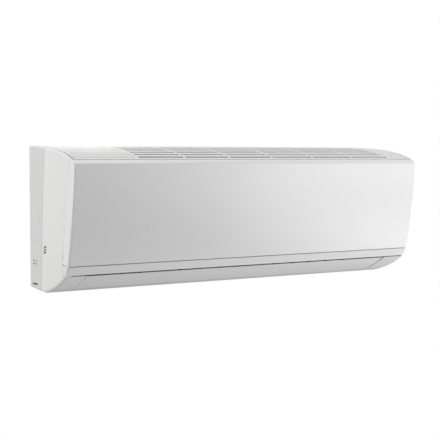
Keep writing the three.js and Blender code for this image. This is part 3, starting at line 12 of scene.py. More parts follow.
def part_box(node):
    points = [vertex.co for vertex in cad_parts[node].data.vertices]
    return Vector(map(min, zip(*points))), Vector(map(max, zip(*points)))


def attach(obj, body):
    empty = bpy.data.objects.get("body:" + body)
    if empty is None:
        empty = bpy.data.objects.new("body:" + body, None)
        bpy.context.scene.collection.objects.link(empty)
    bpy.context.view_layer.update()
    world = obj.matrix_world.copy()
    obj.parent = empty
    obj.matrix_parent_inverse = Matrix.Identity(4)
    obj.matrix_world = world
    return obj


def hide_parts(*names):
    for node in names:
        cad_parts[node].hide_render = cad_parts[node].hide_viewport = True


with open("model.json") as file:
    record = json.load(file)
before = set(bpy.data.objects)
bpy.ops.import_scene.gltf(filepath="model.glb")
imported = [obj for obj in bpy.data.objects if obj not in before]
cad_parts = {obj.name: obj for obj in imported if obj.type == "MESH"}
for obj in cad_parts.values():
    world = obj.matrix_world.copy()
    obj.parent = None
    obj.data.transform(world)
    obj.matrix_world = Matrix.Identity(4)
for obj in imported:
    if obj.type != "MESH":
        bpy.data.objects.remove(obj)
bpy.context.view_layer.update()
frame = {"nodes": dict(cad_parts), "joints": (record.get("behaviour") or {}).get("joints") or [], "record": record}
nodes = frame["nodes"]
joints = {joint["name"]: joint for joint in frame["joints"]}
mm = 0.001

casing = {
    "length": 845.0, "height": 289.0, "depth": 209.0,
    "wall": 2.4, "seam": 0.9, "capShare": 0.4, "baseShare": 0.6, "panelGap": 1.5, "softEdge": 0.35,
    "topHandles": [(0, 289), (92, 285.5), (160, 279.2), (209, 256)],
    "frontHandles": [(209, 256), (205.1, 163), (180.6, 60)],
    "bellyHandles": [(170, 41), (130, 12.2), (72, 0)],
    "rearLift": 4.6, "noseRound": 4.2, "edgeRound": 4.6, "leastRound": 0.8,
    "crest": 66, "taperRear": 1.6, "taperFront": 2.8,
    "seamHandles": [(57, -40), (58, 144.5), (83, 329)],
    "grilleRear": 22.0,
    "roundSteps": 6, "rowsAlong": 12, "endCentre": 0.45, "endRings": (0.0, 0.2, 0.4, 0.6, 0.8),
}
half = casing["length"] / 2
midHeight = casing["height"] / 2
beyond = 40.0  # how far a cutting shape reaches past the casing
behind = 5.0  # how far an inner space reaches through the open back


def sectionOf(point):  # row frame to (depth, height)
    return (-point[1] / mm, point[2] / mm + midHeight)


hinge = sectionOf(joints["panel_hinge"]["pos_m"])
flapPivot = sectionOf(joints["flap_pivot"]["pos_m"])
fanAxis = sectionOf(joints["fan_spin"]["pos_m"])


# drawing helpers
def place(x, depth, height):
    return Vector((x * mm, -depth * mm, (height - midHeight) * mm))


def bezier(handles, steps):
    points = []
    for i in range(steps + 1):
        t = i / steps
        row = [Vector(h) for h in handles]
        while len(row) > 1:
            row = [a.lerp(b, t) for a, b in zip(row, row[1:])]
        points.append((row[0].x, row[0].y))
    return points


def arc(centre, radius, start, end, steps):
    spread = [start + (end - start) * i / steps for i in range(steps + 1)]
    return [(centre[0] + radius * math.cos(math.radians(a)),
             centre[1] + radius * math.sin(math.radians(a))) for a in spread]


def ringOf(centre, radius, sides=24):
    return arc(centre, radius, 0, 360 - 360 / sides, sides - 1)


def inwardOffset(line, distance):  # to the right of an open line
    sharpest = 0.5  # keeps a mitre short at a sharp corner
    moved = []
    for i, point in enumerate(line):
        here = Vector(point)
        before = Vector(line[max(i - 1, 0)])
        after = Vector(line[min(i + 1, len(line) - 1)])
        arriving = (here - before if i > 0 else after - here).normalized()
        leaving = (after - here if i < len(line) - 1 else arriving).normalized()
        right = Vector((arriving.y, -arriving.x))
        mitre = (right + Vector((leaving.y, -leaving.x))).normalized()
        moved.append(here + mitre * (distance / max(mitre.dot(right), sharpest)))
    return [(p.x, p.y) for p in moved]


def band(line, thickness):
    return list(line) + inwardOffset(line, thickness)[::-1]


def heightOn(line, depth):
    for a, b in zip(line, line[1:]):
        if min(a[0], b[0]) <= depth <= max(a[0], b[0]) and a[0] != b[0]:
            return a[1] + (b[1] - a[1]) * (depth - a[0]) / (b[0] - a[0])
    return line[-1][1]


def depthOn(line, height):
    return heightOn([(h, d) for d, h in line], height)


def halfLength(depth):
    crest = casing["crest"]
    if depth < crest:
        return half - casing["taperRear"] * (crest - depth) / (crest + beyond)
    reach = casing["depth"] + beyond - crest
    share = (depth - crest) / reach
    return half - casing["taperFront"] * share * share


topLine = bezier(casing["topHandles"], 44)
frontLine = bezier(casing["frontHandles"], 40)
bellyLine = bezier(casing["bellyHandles"], 30)
topEdge = casing["topHandles"][-1]


def roundedProfile():
    reach = casing["noseRound"]
    top = [p for p in topLine if math.dist(p, topEdge) > reach]
    front = [p for p in frontLine if math.dist(p, topEdge) > reach]
    corner = bezier([top[-1], topEdge, front[0]], 8)[1:-1]
    return top + corner + front + bellyLine + [(0.0, casing["rearLift"])]


profile = roundedProfile()


# mesh helpers
def meshObject(name, vertices, faces):
    mesh = bpy.data.meshes.new(name)
    mesh.from_pydata([tuple(v) for v in vertices], [], faces)
    mesh.update()
    obj = bpy.data.objects.new(name, mesh)
    bpy.context.scene.collection.objects.link(obj)
    return obj


def tidyMesh(obj, merge=0.00001):
    work = bmesh.new()
    work.from_mesh(obj.data)
    bmesh.ops.remove_doubles(work, verts=work.verts, dist=merge)
    bmesh.ops.recalc_face_normals(work, faces=work.faces)
    work.to_mesh(obj.data)
    work.free()
    return obj


def prismPiece(name, outline, x0, x1):
    count = len(outline)
    vertices = [place(x, d, h) for x in (x0, x1) for d, h in outline]
    faces = [tuple(range(count)), tuple(range(2 * count - 1, count - 1, -1))]
    for i in range(count):
        j = (i + 1) % count
        faces.append((i, i + count, j + count, j))
    return tidyMesh(meshObject(name, vertices, faces))


def blockPiece(name, x0, x1, d0, d1, h0, h1):
    return prismPiece(name, [(d0, h0), (d1, h0), (d1, h1), (d0, h1)], x0, x1)


def baked(obj):  # modifiers applied, the object kept
    result = bpy.data.meshes.new_from_object(obj.evaluated_get(bpy.context.evaluated_depsgraph_get()))
    obj.modifiers.clear()
    obj.data = result
    return obj


def combined(obj, other, operation):  # the other object is used up
    step = obj.modifiers.new("combine", "BOOLEAN")
    step.operation = operation
    step.solver = "EXACT"
    step.object = other
    baked(obj)
    bpy.data.objects.remove(other)
    return obj


def duplicate(obj, name):
    copy = obj.copy()
    copy.data = obj.data.copy()
    copy.name = name
    copy.parent = None
    copy.hide_render = False
    copy.hide_viewport = False
    for key in list(copy.keys()):
        del copy[key]
    bpy.context.scene.collection.objects.link(copy)
    return copy


def merged(name, pieces):  # loose pieces gathered in one mesh
    work = bmesh.new()
    for piece in pieces:
        work.from_mesh(piece.data)
    mesh = bpy.data.meshes.new(name)
    work.to_mesh(mesh)
    work.free()
    for piece in pieces:
        bpy.data.objects.remove(piece)
    obj = bpy.data.objects.new(name, mesh)
    bpy.context.scene.collection.objects.link(obj)
    return obj


def finished(obj, finish, body, replaced, softEdge, crease=32):
    if softEdge:
        edge = obj.modifiers.new("softEdge", "BEVEL")
        edge.width = softEdge * mm
        edge.segments = 2
        edge.limit_method = "ANGLE"
        edge.angle_limit = math.radians(crease)
        edge.miter_outer = "MITER_ARC"
        baked(obj)
    obj.data.materials.clear()
    obj.data.materials.append(finish)
    for polygon in obj.data.polygons:
        polygon.use_smooth = True
        polygon.material_index = 0
    obj.data.set_sharp_from_angle(angle=math.radians(crease))
    if softEdge:
        normals = obj.modifiers.new("flatNormals", "WEIGHTED_NORMAL")
        normals.keep_sharp = True
        baked(obj)
    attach(obj, body)
    if replaced:
        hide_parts(*replaced)
    return obj


def sectionInside(inset, back):  # the casing's section moved inwards, its ends drawn back
    line = inwardOffset(profile, inset) if inset else list(profile)
    line[0] = (-back, line[0][1])
    line[-1] = (-back, line[-1][1])
    return line


# a solid bounded by the casing surface moved inwards, with rounded ends
def caseBlock(name, inset, back=behind):
    inner = max(casing["edgeRound"] - inset, casing["leastRound"])

    def row(lengthInset, sectionInset, side, share=1.0):
        return [place(side * share * (halfLength(d) - inset - lengthInset), d, h)
                for d, h in sectionInside(inset + sectionInset, back)]

    def endRings(side):
        middle = Vector((casing["depth"] * casing["endCentre"], midHeight))
        rings = []
        for share in casing["endRings"]:
            ring = [middle.lerp(Vector(p), share) for p in sectionInside(inset + inner, back)]
            rings.append([place(side * (halfLength(p.x) - inset), p.x, p.y) for p in ring])
        return rings

    def roundRows(side):
        steps = casing["roundSteps"]
        turns = [math.radians(90 * i / steps) for i in range(steps, -1, -1)]
        return [row(inner * (1 - math.sin(t)), inner * (1 - math.cos(t)), side) for t in turns]

    rows = endRings(-1) + roundRows(-1)
    for i in range(1, casing["rowsAlong"]):
        rows.append(row(inner, 0, 1, -1 + 2 * i / casing["rowsAlong"]))
    rows += roundRows(1)[::-1] + endRings(1)[::-1]
    count = len(profile)
    vertices = [p for r in rows for p in r]
    faces = []
    for i in range(len(rows) - 1):
        for j in range(count):
            k = (j + 1) % count
            faces.append((i * count + j, i * count + k, (i + 1) * count + k, (i + 1) * count + j))
    return tidyMesh(meshObject(name, vertices, faces))


def caseShell(name, outer, inner):
    shell = caseBlock(name, outer, 0.0 if outer == 0 else behind)
    return combined(shell, caseBlock("core", inner), "DIFFERENCE")


# finishes
def newMaterial(name):
    material = bpy.data.materials.new(name)
    material.use_nodes = True
    tree = material.node_tree
    return material, tree, tree.nodes["Principled BSDF"]


def linked(tree, start, end):
    tree.links.new(start, end)


def addNode(tree, kind, **settings):
    node = tree.nodes.new(kind)
    for name, value in settings.items():
        if hasattr(node, name):
            setattr(node, name, value)
        else:
            node.inputs[name.replace("_", " ")].default_value = value
    return node


def newGroup(name, inputs, outputs):
    tree = bpy.data.node_groups.new(name, "ShaderNodeTree")
    for label, kind, value in inputs:
        socket = tree.interface.new_socket(name=label, in_out="INPUT", socket_type=kind)
        socket.default_value = value
    for label, kind in outputs:
        tree.interface.new_socket(name=label, in_out="OUTPUT", socket_type=kind)
    return tree, tree.nodes.new("NodeGroupInput"), tree.nodes.new("NodeGroupOutput")


def mouldedSurface():  # faint mottling, sheen patches and grain of moulded or rolled stock
    tree, given, made = newGroup("mouldedSurface", [
        ("Tint", "NodeSocketColor", (0.8, 0.8, 0.8, 1)),
        ("Shade", "NodeSocketColor", (0.7, 0.7, 0.7, 1)),
        ("Patch Scale", "NodeSocketFloat", 9.0),
        ("Grain Scale", "NodeSocketFloat", 900.0),
        ("Grain Depth", "NodeSocketFloat", 0.05),
        ("Smoothest", "NodeSocketFloat", 0.3),
        ("Roughest", "NodeSocketFloat", 0.4),
    ], [("Color", "NodeSocketColor"), ("Roughness", "NodeSocketFloat"), ("Normal", "NodeSocketVector")])
    where = addNode(tree, "ShaderNodeTexCoord")
    patch = addNode(tree, "ShaderNodeTexNoise", Detail=3.0)
    grain = addNode(tree, "ShaderNodeTexNoise", Detail=2.0)
    blend = addNode(tree, "ShaderNodeMix", data_type="RGBA")
    sheen = addNode(tree, "ShaderNodeMapRange")
    bump = addNode(tree, "ShaderNodeBump", Distance=0.0002)
    linked(tree, where.outputs["Object"], patch.inputs["Vector"])
    linked(tree, where.outputs["Object"], grain.inputs["Vector"])
    linked(tree, given.outputs["Patch Scale"], patch.inputs["Scale"])
    linked(tree, given.outputs["Grain Scale"], grain.inputs["Scale"])
    linked(tree, patch.outputs["Fac"], blend.inputs["Factor"])
    linked(tree, given.outputs["Tint"], blend.inputs["A"])
    linked(tree, given.outputs["Shade"], blend.inputs["B"])
    linked(tree, grain.outputs["Fac"], sheen.inputs["Value"])
    linked(tree, given.outputs["Smoothest"], sheen.inputs["To Min"])
    linked(tree, given.outputs["Roughest"], sheen.inputs["To Max"])
    linked(tree, grain.outputs["Fac"], bump.inputs["Height"])
    linked(tree, given.outputs["Grain Depth"], bump.inputs["Strength"])
    linked(tree, blend.outputs["Result"], made.inputs["Color"])
    linked(tree, sheen.outputs["Result"], made.inputs["Roughness"])
    linked(tree, bump.outputs["Normal"], made.inputs["Normal"])
    return tree


def settledDust():  # dust on faces that look up, broken up by a fine pattern
    tree, given, made = newGroup("settledDust", [
        ("Color", "NodeSocketColor", (0.8, 0.8, 0.8, 1)),
        ("Dust", "NodeSocketColor", (0.55, 0.52, 0.47, 1)),
        ("Amount", "NodeSocketFloat", 0.2),
    ], [("Color", "NodeSocketColor")])
    where = addNode(tree, "ShaderNodeTexCoord")
    facing = addNode(tree, "ShaderNodeNewGeometry")
    split = addNode(tree, "ShaderNodeSeparateXYZ")
    specks = addNode(tree, "ShaderNodeTexNoise", Scale=60.0, Detail=6.0, Roughness=0.7)
    fall = addNode(tree, "ShaderNodeMath", operation="MULTIPLY", use_clamp=True)
    share = addNode(tree, "ShaderNodeMath", operation="MULTIPLY", use_clamp=True)
    blend = addNode(tree, "ShaderNodeMix", data_type="RGBA")
    linked(tree, where.outputs["Object"], specks.inputs["Vector"])
    linked(tree, facing.outputs["Normal"], split.inputs[0])
    linked(tree, split.outputs["Z"], fall.inputs[0])
    linked(tree, specks.outputs["Fac"], fall.inputs[1])
    linked(tree, fall.outputs[0], share.inputs[0])
    linked(tree, given.outputs["Amount"], share.inputs[1])
    linked(tree, share.outputs[0], blend.inputs["Factor"])
    linked(tree, given.outputs["Color"], blend.inputs["A"])
    linked(tree, given.outputs["Dust"], blend.inputs["B"])
    linked(tree, blend.outputs["Result"], made.inputs["Color"])
    return tree


moulded = mouldedSurface()
dusted = settledDust()


def rgb(red, green, blue):
    return (red, green, blue, 1.0)


def plainFinish(name, look):
    material, tree, shader = newMaterial(name)
    surface = addNode(tree, "ShaderNodeGroup", node_tree=moulded)
    for label in ("Tint", "Shade", "Patch Scale", "Grain Scale", "Grain Depth", "Smoothest", "Roughest"):
        surface.inputs[label].default_value = look[label]
    dust = addNode(tree, "ShaderNodeGroup", node_tree=dusted)
    dust.inputs["Amount"].default_value = look["Dust"]
    linked(tree, surface.outputs["Color"], dust.inputs["Color"])
    linked(tree, dust.outputs["Color"], shader.inputs["Base Color"])
    linked(tree, surface.outputs["Roughness"], shader.inputs["Roughness"])
    linked(tree, surface.outputs["Normal"], shader.inputs["Normal"])
    for label in ("Metallic", "Coat Weight", "Coat Roughness", "IOR", "Specular IOR Level"):
        if label in look:
            shader.inputs[label].default_value = look[label]
    return material


def moulding(tint, shade, smoothest, roughest, grain, **more):
    look = {"Tint": rgb(*tint), "Shade": rgb(*shade), "Patch Scale": 7.0, "Grain Scale": 1400.0,
            "Grain Depth": grain, "Smoothest": smoothest, "Roughest": roughest, "Dust": 0.1}
    look.update(more)
    return look


whitePlastic = plainFinish("whitePlastic", moulding(
    (0.80, 0.80, 0.795), (0.782, 0.782, 0.777), 0.46, 0.56, 0.05, Dust=0.04))
glossPanel = plainFinish("glossPanel", moulding(
    (0.80, 0.798, 0.80), (0.788, 0.79, 0.794), 0.26, 0.3, 0.02,
    **{"Coat Weight": 0.35, "Coat Roughness": 0.22, "Dust": 0.02}))
basePlastic = plainFinish("basePlastic", moulding(
    (0.69, 0.69, 0.685), (0.665, 0.665, 0.66), 0.5, 0.6, 0.2))
darkPlastic = plainFinish("darkPlastic", moulding(
    (0.035, 0.036, 0.04), (0.05, 0.05, 0.054), 0.38, 0.5, 0.3))
zincPlate = plainFinish("zincPlate", moulding(
    (0.62, 0.64, 0.66), (0.42, 0.44, 0.47), 0.28, 0.5, 0.1, **{"Metallic": 1.0, "Patch Scale": 60.0}))
aluminiumFins = plainFinish("aluminiumFins", moulding(
    (0.72, 0.76, 0.8), (0.6, 0.65, 0.7), 0.3, 0.42, 0.15, **{"Metallic": 0.9}))
copper = plainFinish("copper", moulding(
    (0.83, 0.42, 0.26), (0.62, 0.28, 0.16), 0.22, 0.36, 0.1, **{"Metallic": 1.0, "Patch Scale": 40.0}))
brass = plainFinish("brass", moulding(
    (0.80, 0.62, 0.28), (0.66, 0.48, 0.2), 0.2, 0.34, 0.1, **{"Metallic": 1.0, "Patch Scale": 50.0}))
steel = plainFinish("steel", moulding(
    (0.58, 0.58, 0.59), (0.44, 0.44, 0.46), 0.22, 0.36, 0.08, **{"Metallic": 1.0}))
blackRubber = plainFinish("blackRubber", moulding(
    (0.02, 0.02, 0.021), (0.032, 0.032, 0.033), 0.6, 0.75, 0.5))
boardGreen = plainFinish("boardGreen", moulding(
    (0.02, 0.16, 0.07), (0.03, 0.22, 0.09), 0.25, 0.4, 0.1))
filterNet = plainFinish("filterNet", moulding(
    (0.10, 0.12, 0.13), (0.14, 0.16, 0.18), 0.5, 0.65, 0.3))
print("finishes ready")

finishBySlot = {
    "white_plastic": whitePlastic, "gloss_panel": glossPanel, "base_plastic": basePlastic,
    "dark_plastic": darkPlastic, "zinc_plate": zincPlate, "aluminium_fins": aluminiumFins,
    "copper": copper, "brass": brass, "steel": steel, "black_rubber": blackRubber,
    "board_green": boardGreen, "filter_net": filterNet,
}


# casing pieces: the shell cut by smooth regions drawn in section
far = casing["depth"] + beyond
sky = casing["height"] + beyond
panelEndCut = half + beyond
panelPiece = {
    "wall": 2.6, "backHandles": [(157, 60), (167, 130), (182, 236)], "toe": (180.6, 60), "foot": (157, 41),
    "noseRadius": 7.0, "crown": 198, "sweep": (-110, -70), "clearance": 0.2,
    "ribs": (74, 158, 234), "ribDepth": 1.4, "ribHeight": 2.2, "ribRoot": 3, "ribInset": 12,
    "notch": [(153, 72), (162.5, 72), (165, 84), (153, 84)], "notchFloor": 421.2,
    "underRear": 66, "arm": [(-2, -3.2), (2.4, -2.6), (3.4, 27.2), (-3, 27.2)],
    "lug": (9.9, 13.3), "pin": (6.3, 10.6), "pinRadius": 1.6, "eyeRadius": 3.3,
    "softEdge": 0.45,
}
panelBackCurve = bezier(panelPiece["backHandles"], 18)
panelReach = math.dist(hinge, panelPiece["toe"])


def noseArc(gap, start=200, end=88, steps=16):
    return arc(hinge, panelPiece["noseRadius"] + gap, start, end, steps)


def underPanel(gap):  # everything below the arc that the panel's foot sweeps
    return arc(hinge, panelReach + gap, *panelPiece["sweep"], 20) + [
        (far, -beyond), (panelPiece["underRear"], -beyond)]


def panelLug(side):
    look = panelPiece
    a, b = sorted(side * (half - x) for x in look["lug"])
    lug = prismPiece("lug", [(hinge[0] + d, hinge[1] + h) for d, h in look["arm"]], a, b)
    combined(lug, prismPiece("eye", ringOf(hinge, look["eyeRadius"]), a, b), "UNION")
    a, b = sorted(side * (half - x) for x in (look["pin"][0], look["lug"][1]))
    return combined(lug, prismPiece("pin", ringOf(hinge, look["pinRadius"]), a, b), "UNION")


def frontPanel():
    look = panelPiece
    foot = look["foot"]
    piece = caseShell("front_panel_face", 0, look["wall"])
    region = [foot] + panelBackCurve + noseArc(0)
    region += [(look["crown"], sky), (far, sky), (far, foot[1])]
    combined(piece, prismPiece("region", region, -panelEndCut, panelEndCut), "INTERSECT")
    combined(piece, prismPiece("foot", underPanel(0), -panelEndCut, panelEndCut), "DIFFERENCE")
    reach = half - look["ribInset"]
    ribs = []
    for height in look["ribs"]:
        wall = depthOn(inwardOffset(frontLine, look["wall"]), height)
        ribs.append(blockPiece("rib", -reach, reach, wall - look["ribDepth"], wall + look["ribRoot"],
                               height, height + look["ribHeight"]))
    bars = merged("bars", ribs)
    for side in (-1, 1):
        combined(bars, panelLug(side), "UNION")
    combined(bars, caseBlock("inside", look["wall"] - look["clearance"]), "INTERSECT")
    combined(piece, bars, "UNION")
    for side in (-1, 1):
        a, b = sorted((side * look["notchFloor"], side * panelEndCut))
        combined(piece, prismPiece("notch", look["notch"], a, b), "DIFFERENCE")
    return finished(piece, glossPanel, "door", ["front_panel"], look["softEdge"])


trimPiece = {"back": 157.3, "foot": 41.6, "head": 100}


def lowerTrim():
    back, foot, head = trimPiece["back"], trimPiece["foot"], trimPiece["head"]
    piece = caseShell("lower_trim_face", 0, casing["wall"])
    region = [(back, head), (back, foot), (far, foot), (far, head)]
    combined(piece, prismPiece("region", region, -panelEndCut, panelEndCut), "INTERSECT")
    under = prismPiece("foot", underPanel(casing["panelGap"]), -panelEndCut, panelEndCut)
    combined(piece, under, "INTERSECT")
    return finished(piece, whitePlastic, "housing", ["lower_trim"], casing["softEdge"])


capPiece = {
    "inner": 417.0, "foot": 197, "toe": (174, 40.6), "back": 157,
    "slits": 3, "slitPitch": 5.4, "slitDepths": (69, 82.5), "slitFoot": (75.6, 80.2), "slitWidth": 3.1,
    "notch": [(155, 70), (169, 70), (169, 86), (158, 86)],
}


def seamCurve(shift, steps=28):
    return [(d + shift, h) for d, h in bezier(casing["seamHandles"], steps)]


def cutSlantedSlits(piece, x0, x1):
    look = capPiece
    rear, front = look["slitDepths"]
    low, high = look["slitFoot"]
    wide = look["slitWidth"]
    for i in range(look["slits"]):
        up = i * look["slitPitch"]
        slit = [(rear, low + up), (front, high + up), (front, high + wide + up), (rear, low + wide + up)]
        combined(piece, prismPiece("slit", slit, x0, x1), "DIFFERENCE")


def endCap(side, name):
    look = capPiece
    shift = casing["seam"] * casing["capShare"]
    toe = look["toe"]
    piece = caseShell(name + "_cover", 0, casing["wall"])
    region = seamCurve(shift)[::-1] + [(look["foot"], -beyond), toe, (look["back"] - shift, toe[1])]
    region += [(d - shift, h) for d, h in panelBackCurve] + noseArc(casing["seam"])
    region += [(panelPiece["crown"], sky)]
    a, b = sorted((side * look["inner"], side * panelEndCut))
    combined(piece, prismPiece("region", region, a, b), "INTERSECT")
    if side < 0:
        cutSlantedSlits(piece, a - behind, b)
    a, b = sorted((side * panelPiece["notchFloor"], side * panelEndCut))
    combined(piece, prismPiece("notch", look["notch"], a, b), "DIFFERENCE")
    return finished(piece, whitePlastic, "housing", [name], casing["softEdge"])


def smoothTree(name, inputs, build):  # a modifier tree that ends in real, painted geometry
    tree = bpy.data.node_groups.new(name, "GeometryNodeTree")
    tree.interface.new_socket(name="Item", in_out="INPUT", socket_type="NodeSocketGeometry")
    for label, kind, value in inputs:
        socket = tree.interface.new_socket(name=label, in_out="INPUT", socket_type=kind)
        if value is not None:
            socket.default_value = value
    tree.interface.new_socket(name="Finish", in_out="INPUT", socket_type="NodeSocketMaterial")
    tree.interface.new_socket(name="Result", in_out="OUTPUT", socket_type="NodeSocketGeometry")
    given = tree.nodes.new("NodeGroupInput")
    made = tree.nodes.new("NodeGroupOutput")
    real = tree.nodes.new("GeometryNodeRealizeInstances")
    paint = tree.nodes.new("GeometryNodeSetMaterial")
    tree.links.new(build(tree, given), real.inputs[0])
    tree.links.new(real.outputs[0], paint.inputs["Geometry"])
    tree.links.new(given.outputs["Finish"], paint.inputs["Material"])
    tree.links.new(paint.outputs[0], made.inputs[0])
    return tree


def buildRow(tree, given):
    line = tree.nodes.new("GeometryNodeMeshLine")
    onto = tree.nodes.new("GeometryNodeInstanceOnPoints")
    tree.links.new(given.outputs["Count"], line.inputs["Count"])
    tree.links.new(given.outputs["First"], line.inputs["Start Location"])
    tree.links.new(given.outputs["Pitch"], line.inputs["Offset"])
    tree.links.new(line.outputs[0], onto.inputs["Points"])
    tree.links.new(given.outputs["Item"], onto.inputs["Instance"])
    return onto.outputs[0]


def buildRound(tree, given):  # copies turned about a line along the unit
    points = tree.nodes.new("GeometryNodePoints")
    onto = tree.nodes.new("GeometryNodeInstanceOnPoints")
    order = tree.nodes.new("GeometryNodeInputIndex")
    turn = tree.nodes.new("ShaderNodeMath")
    spin = tree.nodes.new("ShaderNodeCombineXYZ")
    shift = tree.nodes.new("GeometryNodeTransform")
    turn.operation = "MULTIPLY"
    tree.links.new(given.outputs["Count"], points.inputs["Count"])
    tree.links.new(order.outputs[0], turn.inputs[0])
    tree.links.new(given.outputs["Angle"], turn.inputs[1])
    tree.links.new(turn.outputs[0], spin.inputs["X"])
    tree.links.new(points.outputs[0], onto.inputs["Points"])
    tree.links.new(given.outputs["Item"], onto.inputs["Instance"])
    tree.links.new(spin.outputs[0], onto.inputs["Rotation"])
    tree.links.new(onto.outputs[0], shift.inputs["Geometry"])
    tree.links.new(given.outputs["Centre"], shift.inputs["Translation"])
    return shift.outputs[0]


def buildTube(tree, given):  # a round tube along the item's edges
    path = tree.nodes.new("GeometryNodeMeshToCurve")
    ring = tree.nodes.new("GeometryNodeCurvePrimitiveCircle")
    sweep = tree.nodes.new("GeometryNodeCurveToMesh")
    ring.mode = "RADIUS"
    sweep.inputs["Fill Caps"].default_value = True
    tree.links.new(given.outputs["Item"], path.inputs[0])
    tree.links.new(given.outputs["Radius"], ring.inputs["Radius"])
    tree.links.new(given.outputs["Sides"], ring.inputs["Resolution"])
    tree.links.new(path.outputs[0], sweep.inputs["Curve"])
    tree.links.new(ring.outputs[0], sweep.inputs["Profile Curve"])
    return sweep.outputs[0]


rowTree = smoothTree("copiesInRow", [
    ("Count", "NodeSocketInt", 2), ("First", "NodeSocketVector", None),
    ("Pitch", "NodeSocketVector", None)], buildRow)
roundTree = smoothTree("copiesRound", [
    ("Count", "NodeSocketInt", 2), ("Angle", "NodeSocketFloat", 0.1),
    ("Centre", "NodeSocketVector", None)], buildRound)
tubeTree = smoothTree("tubeAlong", [
    ("Radius", "NodeSocketFloat", 0.003), ("Sides", "NodeSocketInt", 12)], buildTube)


def grown(item, tree, finish, **values):  # runs a tree on an item and keeps the plain mesh
    step = item.modifiers.new("grow", "NODES")
    step.node_group = tree
    for socket in tree.interface.items_tree:
        if socket.in_out == "INPUT" and socket.name in values:
            step[socket.identifier] = values[socket.name]
        if socket.in_out == "INPUT" and socket.name == "Finish":
            step[socket.identifier] = finish
    return baked(item)


grillePiece = {
    "halfLength": 414.2, "front": 188, "slotLeft": -276.2, "cells": 6, "cellPitch": 105.6, "bridge": 5.0,
    "rows": 8, "frontRow": 184.0, "rowPitch": 17.6, "slotWidth": 8.6, "blindWidth": 3.4, "blindDepth": 1.1,
    "blindLeft": (-422.5, -281.2), "blindRight": (362.4, 422.5), "cutHeights": (240, 300), "softEdge": 0.5,
}


def grilleRows(width):  # rear and front depth of each slot or groove
    look = grillePiece
    middles = [look["frontRow"] - look["rowPitch"] * i for i in range(look["rows"])]
    return [(d - width / 2, d + width / 2) for d in middles]


def inletGrille():
    look = grillePiece
    reach = look["halfLength"]
    piece = caseShell("inlet_grille_cover", 0, casing["wall"])
    region = [(casing["grilleRear"], midHeight), (look["front"], midHeight), (look["front"], hinge[1])]
    region += noseArc(casing["seam"], 170) + [(panelPiece["crown"], sky), (casing["grilleRear"], sky)]
    combined(piece, prismPiece("region", region, -reach, reach), "INTERSECT")
    length = look["cellPitch"] - look["bridge"]
    first = look["slotLeft"] + look["bridge"] / 2
    for rear, front in grilleRows(look["slotWidth"]):
        cell = blockPiece("cell", 0, length, rear, front, *look["cutHeights"])
        grown(cell, rowTree, whitePlastic, Count=look["cells"],
              First=(first * mm, 0, 0), Pitch=(look["cellPitch"] * mm, 0, 0))
        combined(piece, cell, "DIFFERENCE")
    skin = caseShell("grooves", -1.0, look["blindDepth"])
    strips = [blockPiece("strip", a, b, rear, front, *look["cutHeights"])
              for rear, front in grilleRows(look["blindWidth"])
              for a, b in (look["blindLeft"], look["blindRight"])]
    combined(piece, combined(merged("strips", strips), skin, "INTERSECT"), "DIFFERENCE")
    return finished(piece, whitePlastic, "housing", ["inlet_grille"], look["softEdge"])


coverPiece = {
    "left": (-416.3, -377.6), "right": (366.0, 416.3), "wall": 2.4, "wallBack": 3.0,
    "outline": [(99, -40), (99, 20.5), (119, 40), (169.4, 39.6), (176, 34), (170, -40)],
    "wallInset": 0.4, "eyeRadius": 4.6, "eyeHole": 2.8,
}


def bottomCover(side):
    look = coverPiece
    name = "bottom_cover_" + side
    x0, x1 = look[side]
    outline = look["outline"]
    piece = caseShell(name + "_cover", 0, look["wall"])
    combined(piece, prismPiece("region", outline, x0, x1), "INTERSECT")
    a = x1 - look["wall"] if side == "left" else x0 + look["wallBack"]
    b = a + look["wall"]
    wall = prismPiece("wall", outline, a, b)
    combined(wall, caseBlock("inside", look["wallInset"]), "INTERSECT")
    combined(wall, prismPiece("eye", ringOf(flapPivot, look["eyeRadius"]), a, b), "UNION")
    combined(piece, wall, "UNION")
    hole = prismPiece("hole", ringOf(flapPivot, look["eyeHole"]), a - behind, b + behind)
    combined(piece, hole, "DIFFERENCE")
    return finished(piece, whitePlastic, "housing", [name], casing["softEdge"])


flapPiece = {
    "front": 168.8, "rear": 100.2, "left": -376.6, "right": 362.2, "edge": 1.2, "swell": 3.2,
    "topCut": 38.8, "bead": 4.2, "pin": 2.5, "pinLeft": -382.0, "pinRight": 372.2, "pinRoot": 2,
    "softEdge": 0.5,
}


def louverFlap():
    look = flapPiece
    left, right = look["left"], look["right"]
    belly = [p for p in bezier(casing["bellyHandles"], 60)
             if look["rear"] < p[0] < look["front"] and p[1] < look["topCut"]]
    count = len(belly) - 1
    inner = []
    for i, point in enumerate(inwardOffset(belly, 1.0)):
        thickness = look["edge"] + look["swell"] * math.sin(math.pi * i / count)
        low = Vector(belly[i])
        inner.append(tuple(low + (Vector(point) - low) * thickness))
    piece = prismPiece("louver_flap_vane", belly + inner[::-1], left, right)
    combined(piece, prismPiece("bead", ringOf(flapPivot, look["bead"], 48), left, right), "UNION")
    root = look["pinRoot"]
    for a, b in ((look["pinLeft"], left + root), (right - root, look["pinRight"])):
        combined(piece, prismPiece("pin", ringOf(flapPivot, look["pin"]), a, b), "UNION")
    combined(piece, caseBlock("keep", 0), "INTERSECT")
    return finished(piece, whitePlastic, "flap", ["louver_flap"], look["softEdge"])


basePiece = {
    "topDepth": 21.1, "bottomDepth": 98.1, "bottomHeight": 20.5, "sideRim": 5.5, "innerInset": 1.3,
    "back": -11, "slitDepths": (16, 29), "slitLength": 8.0, "slitHeights": (53, 58.6), "slitWidth": 1.8,
    "lowSlot": (12, 37, 12, 15), "softEdge": 0.3,
}


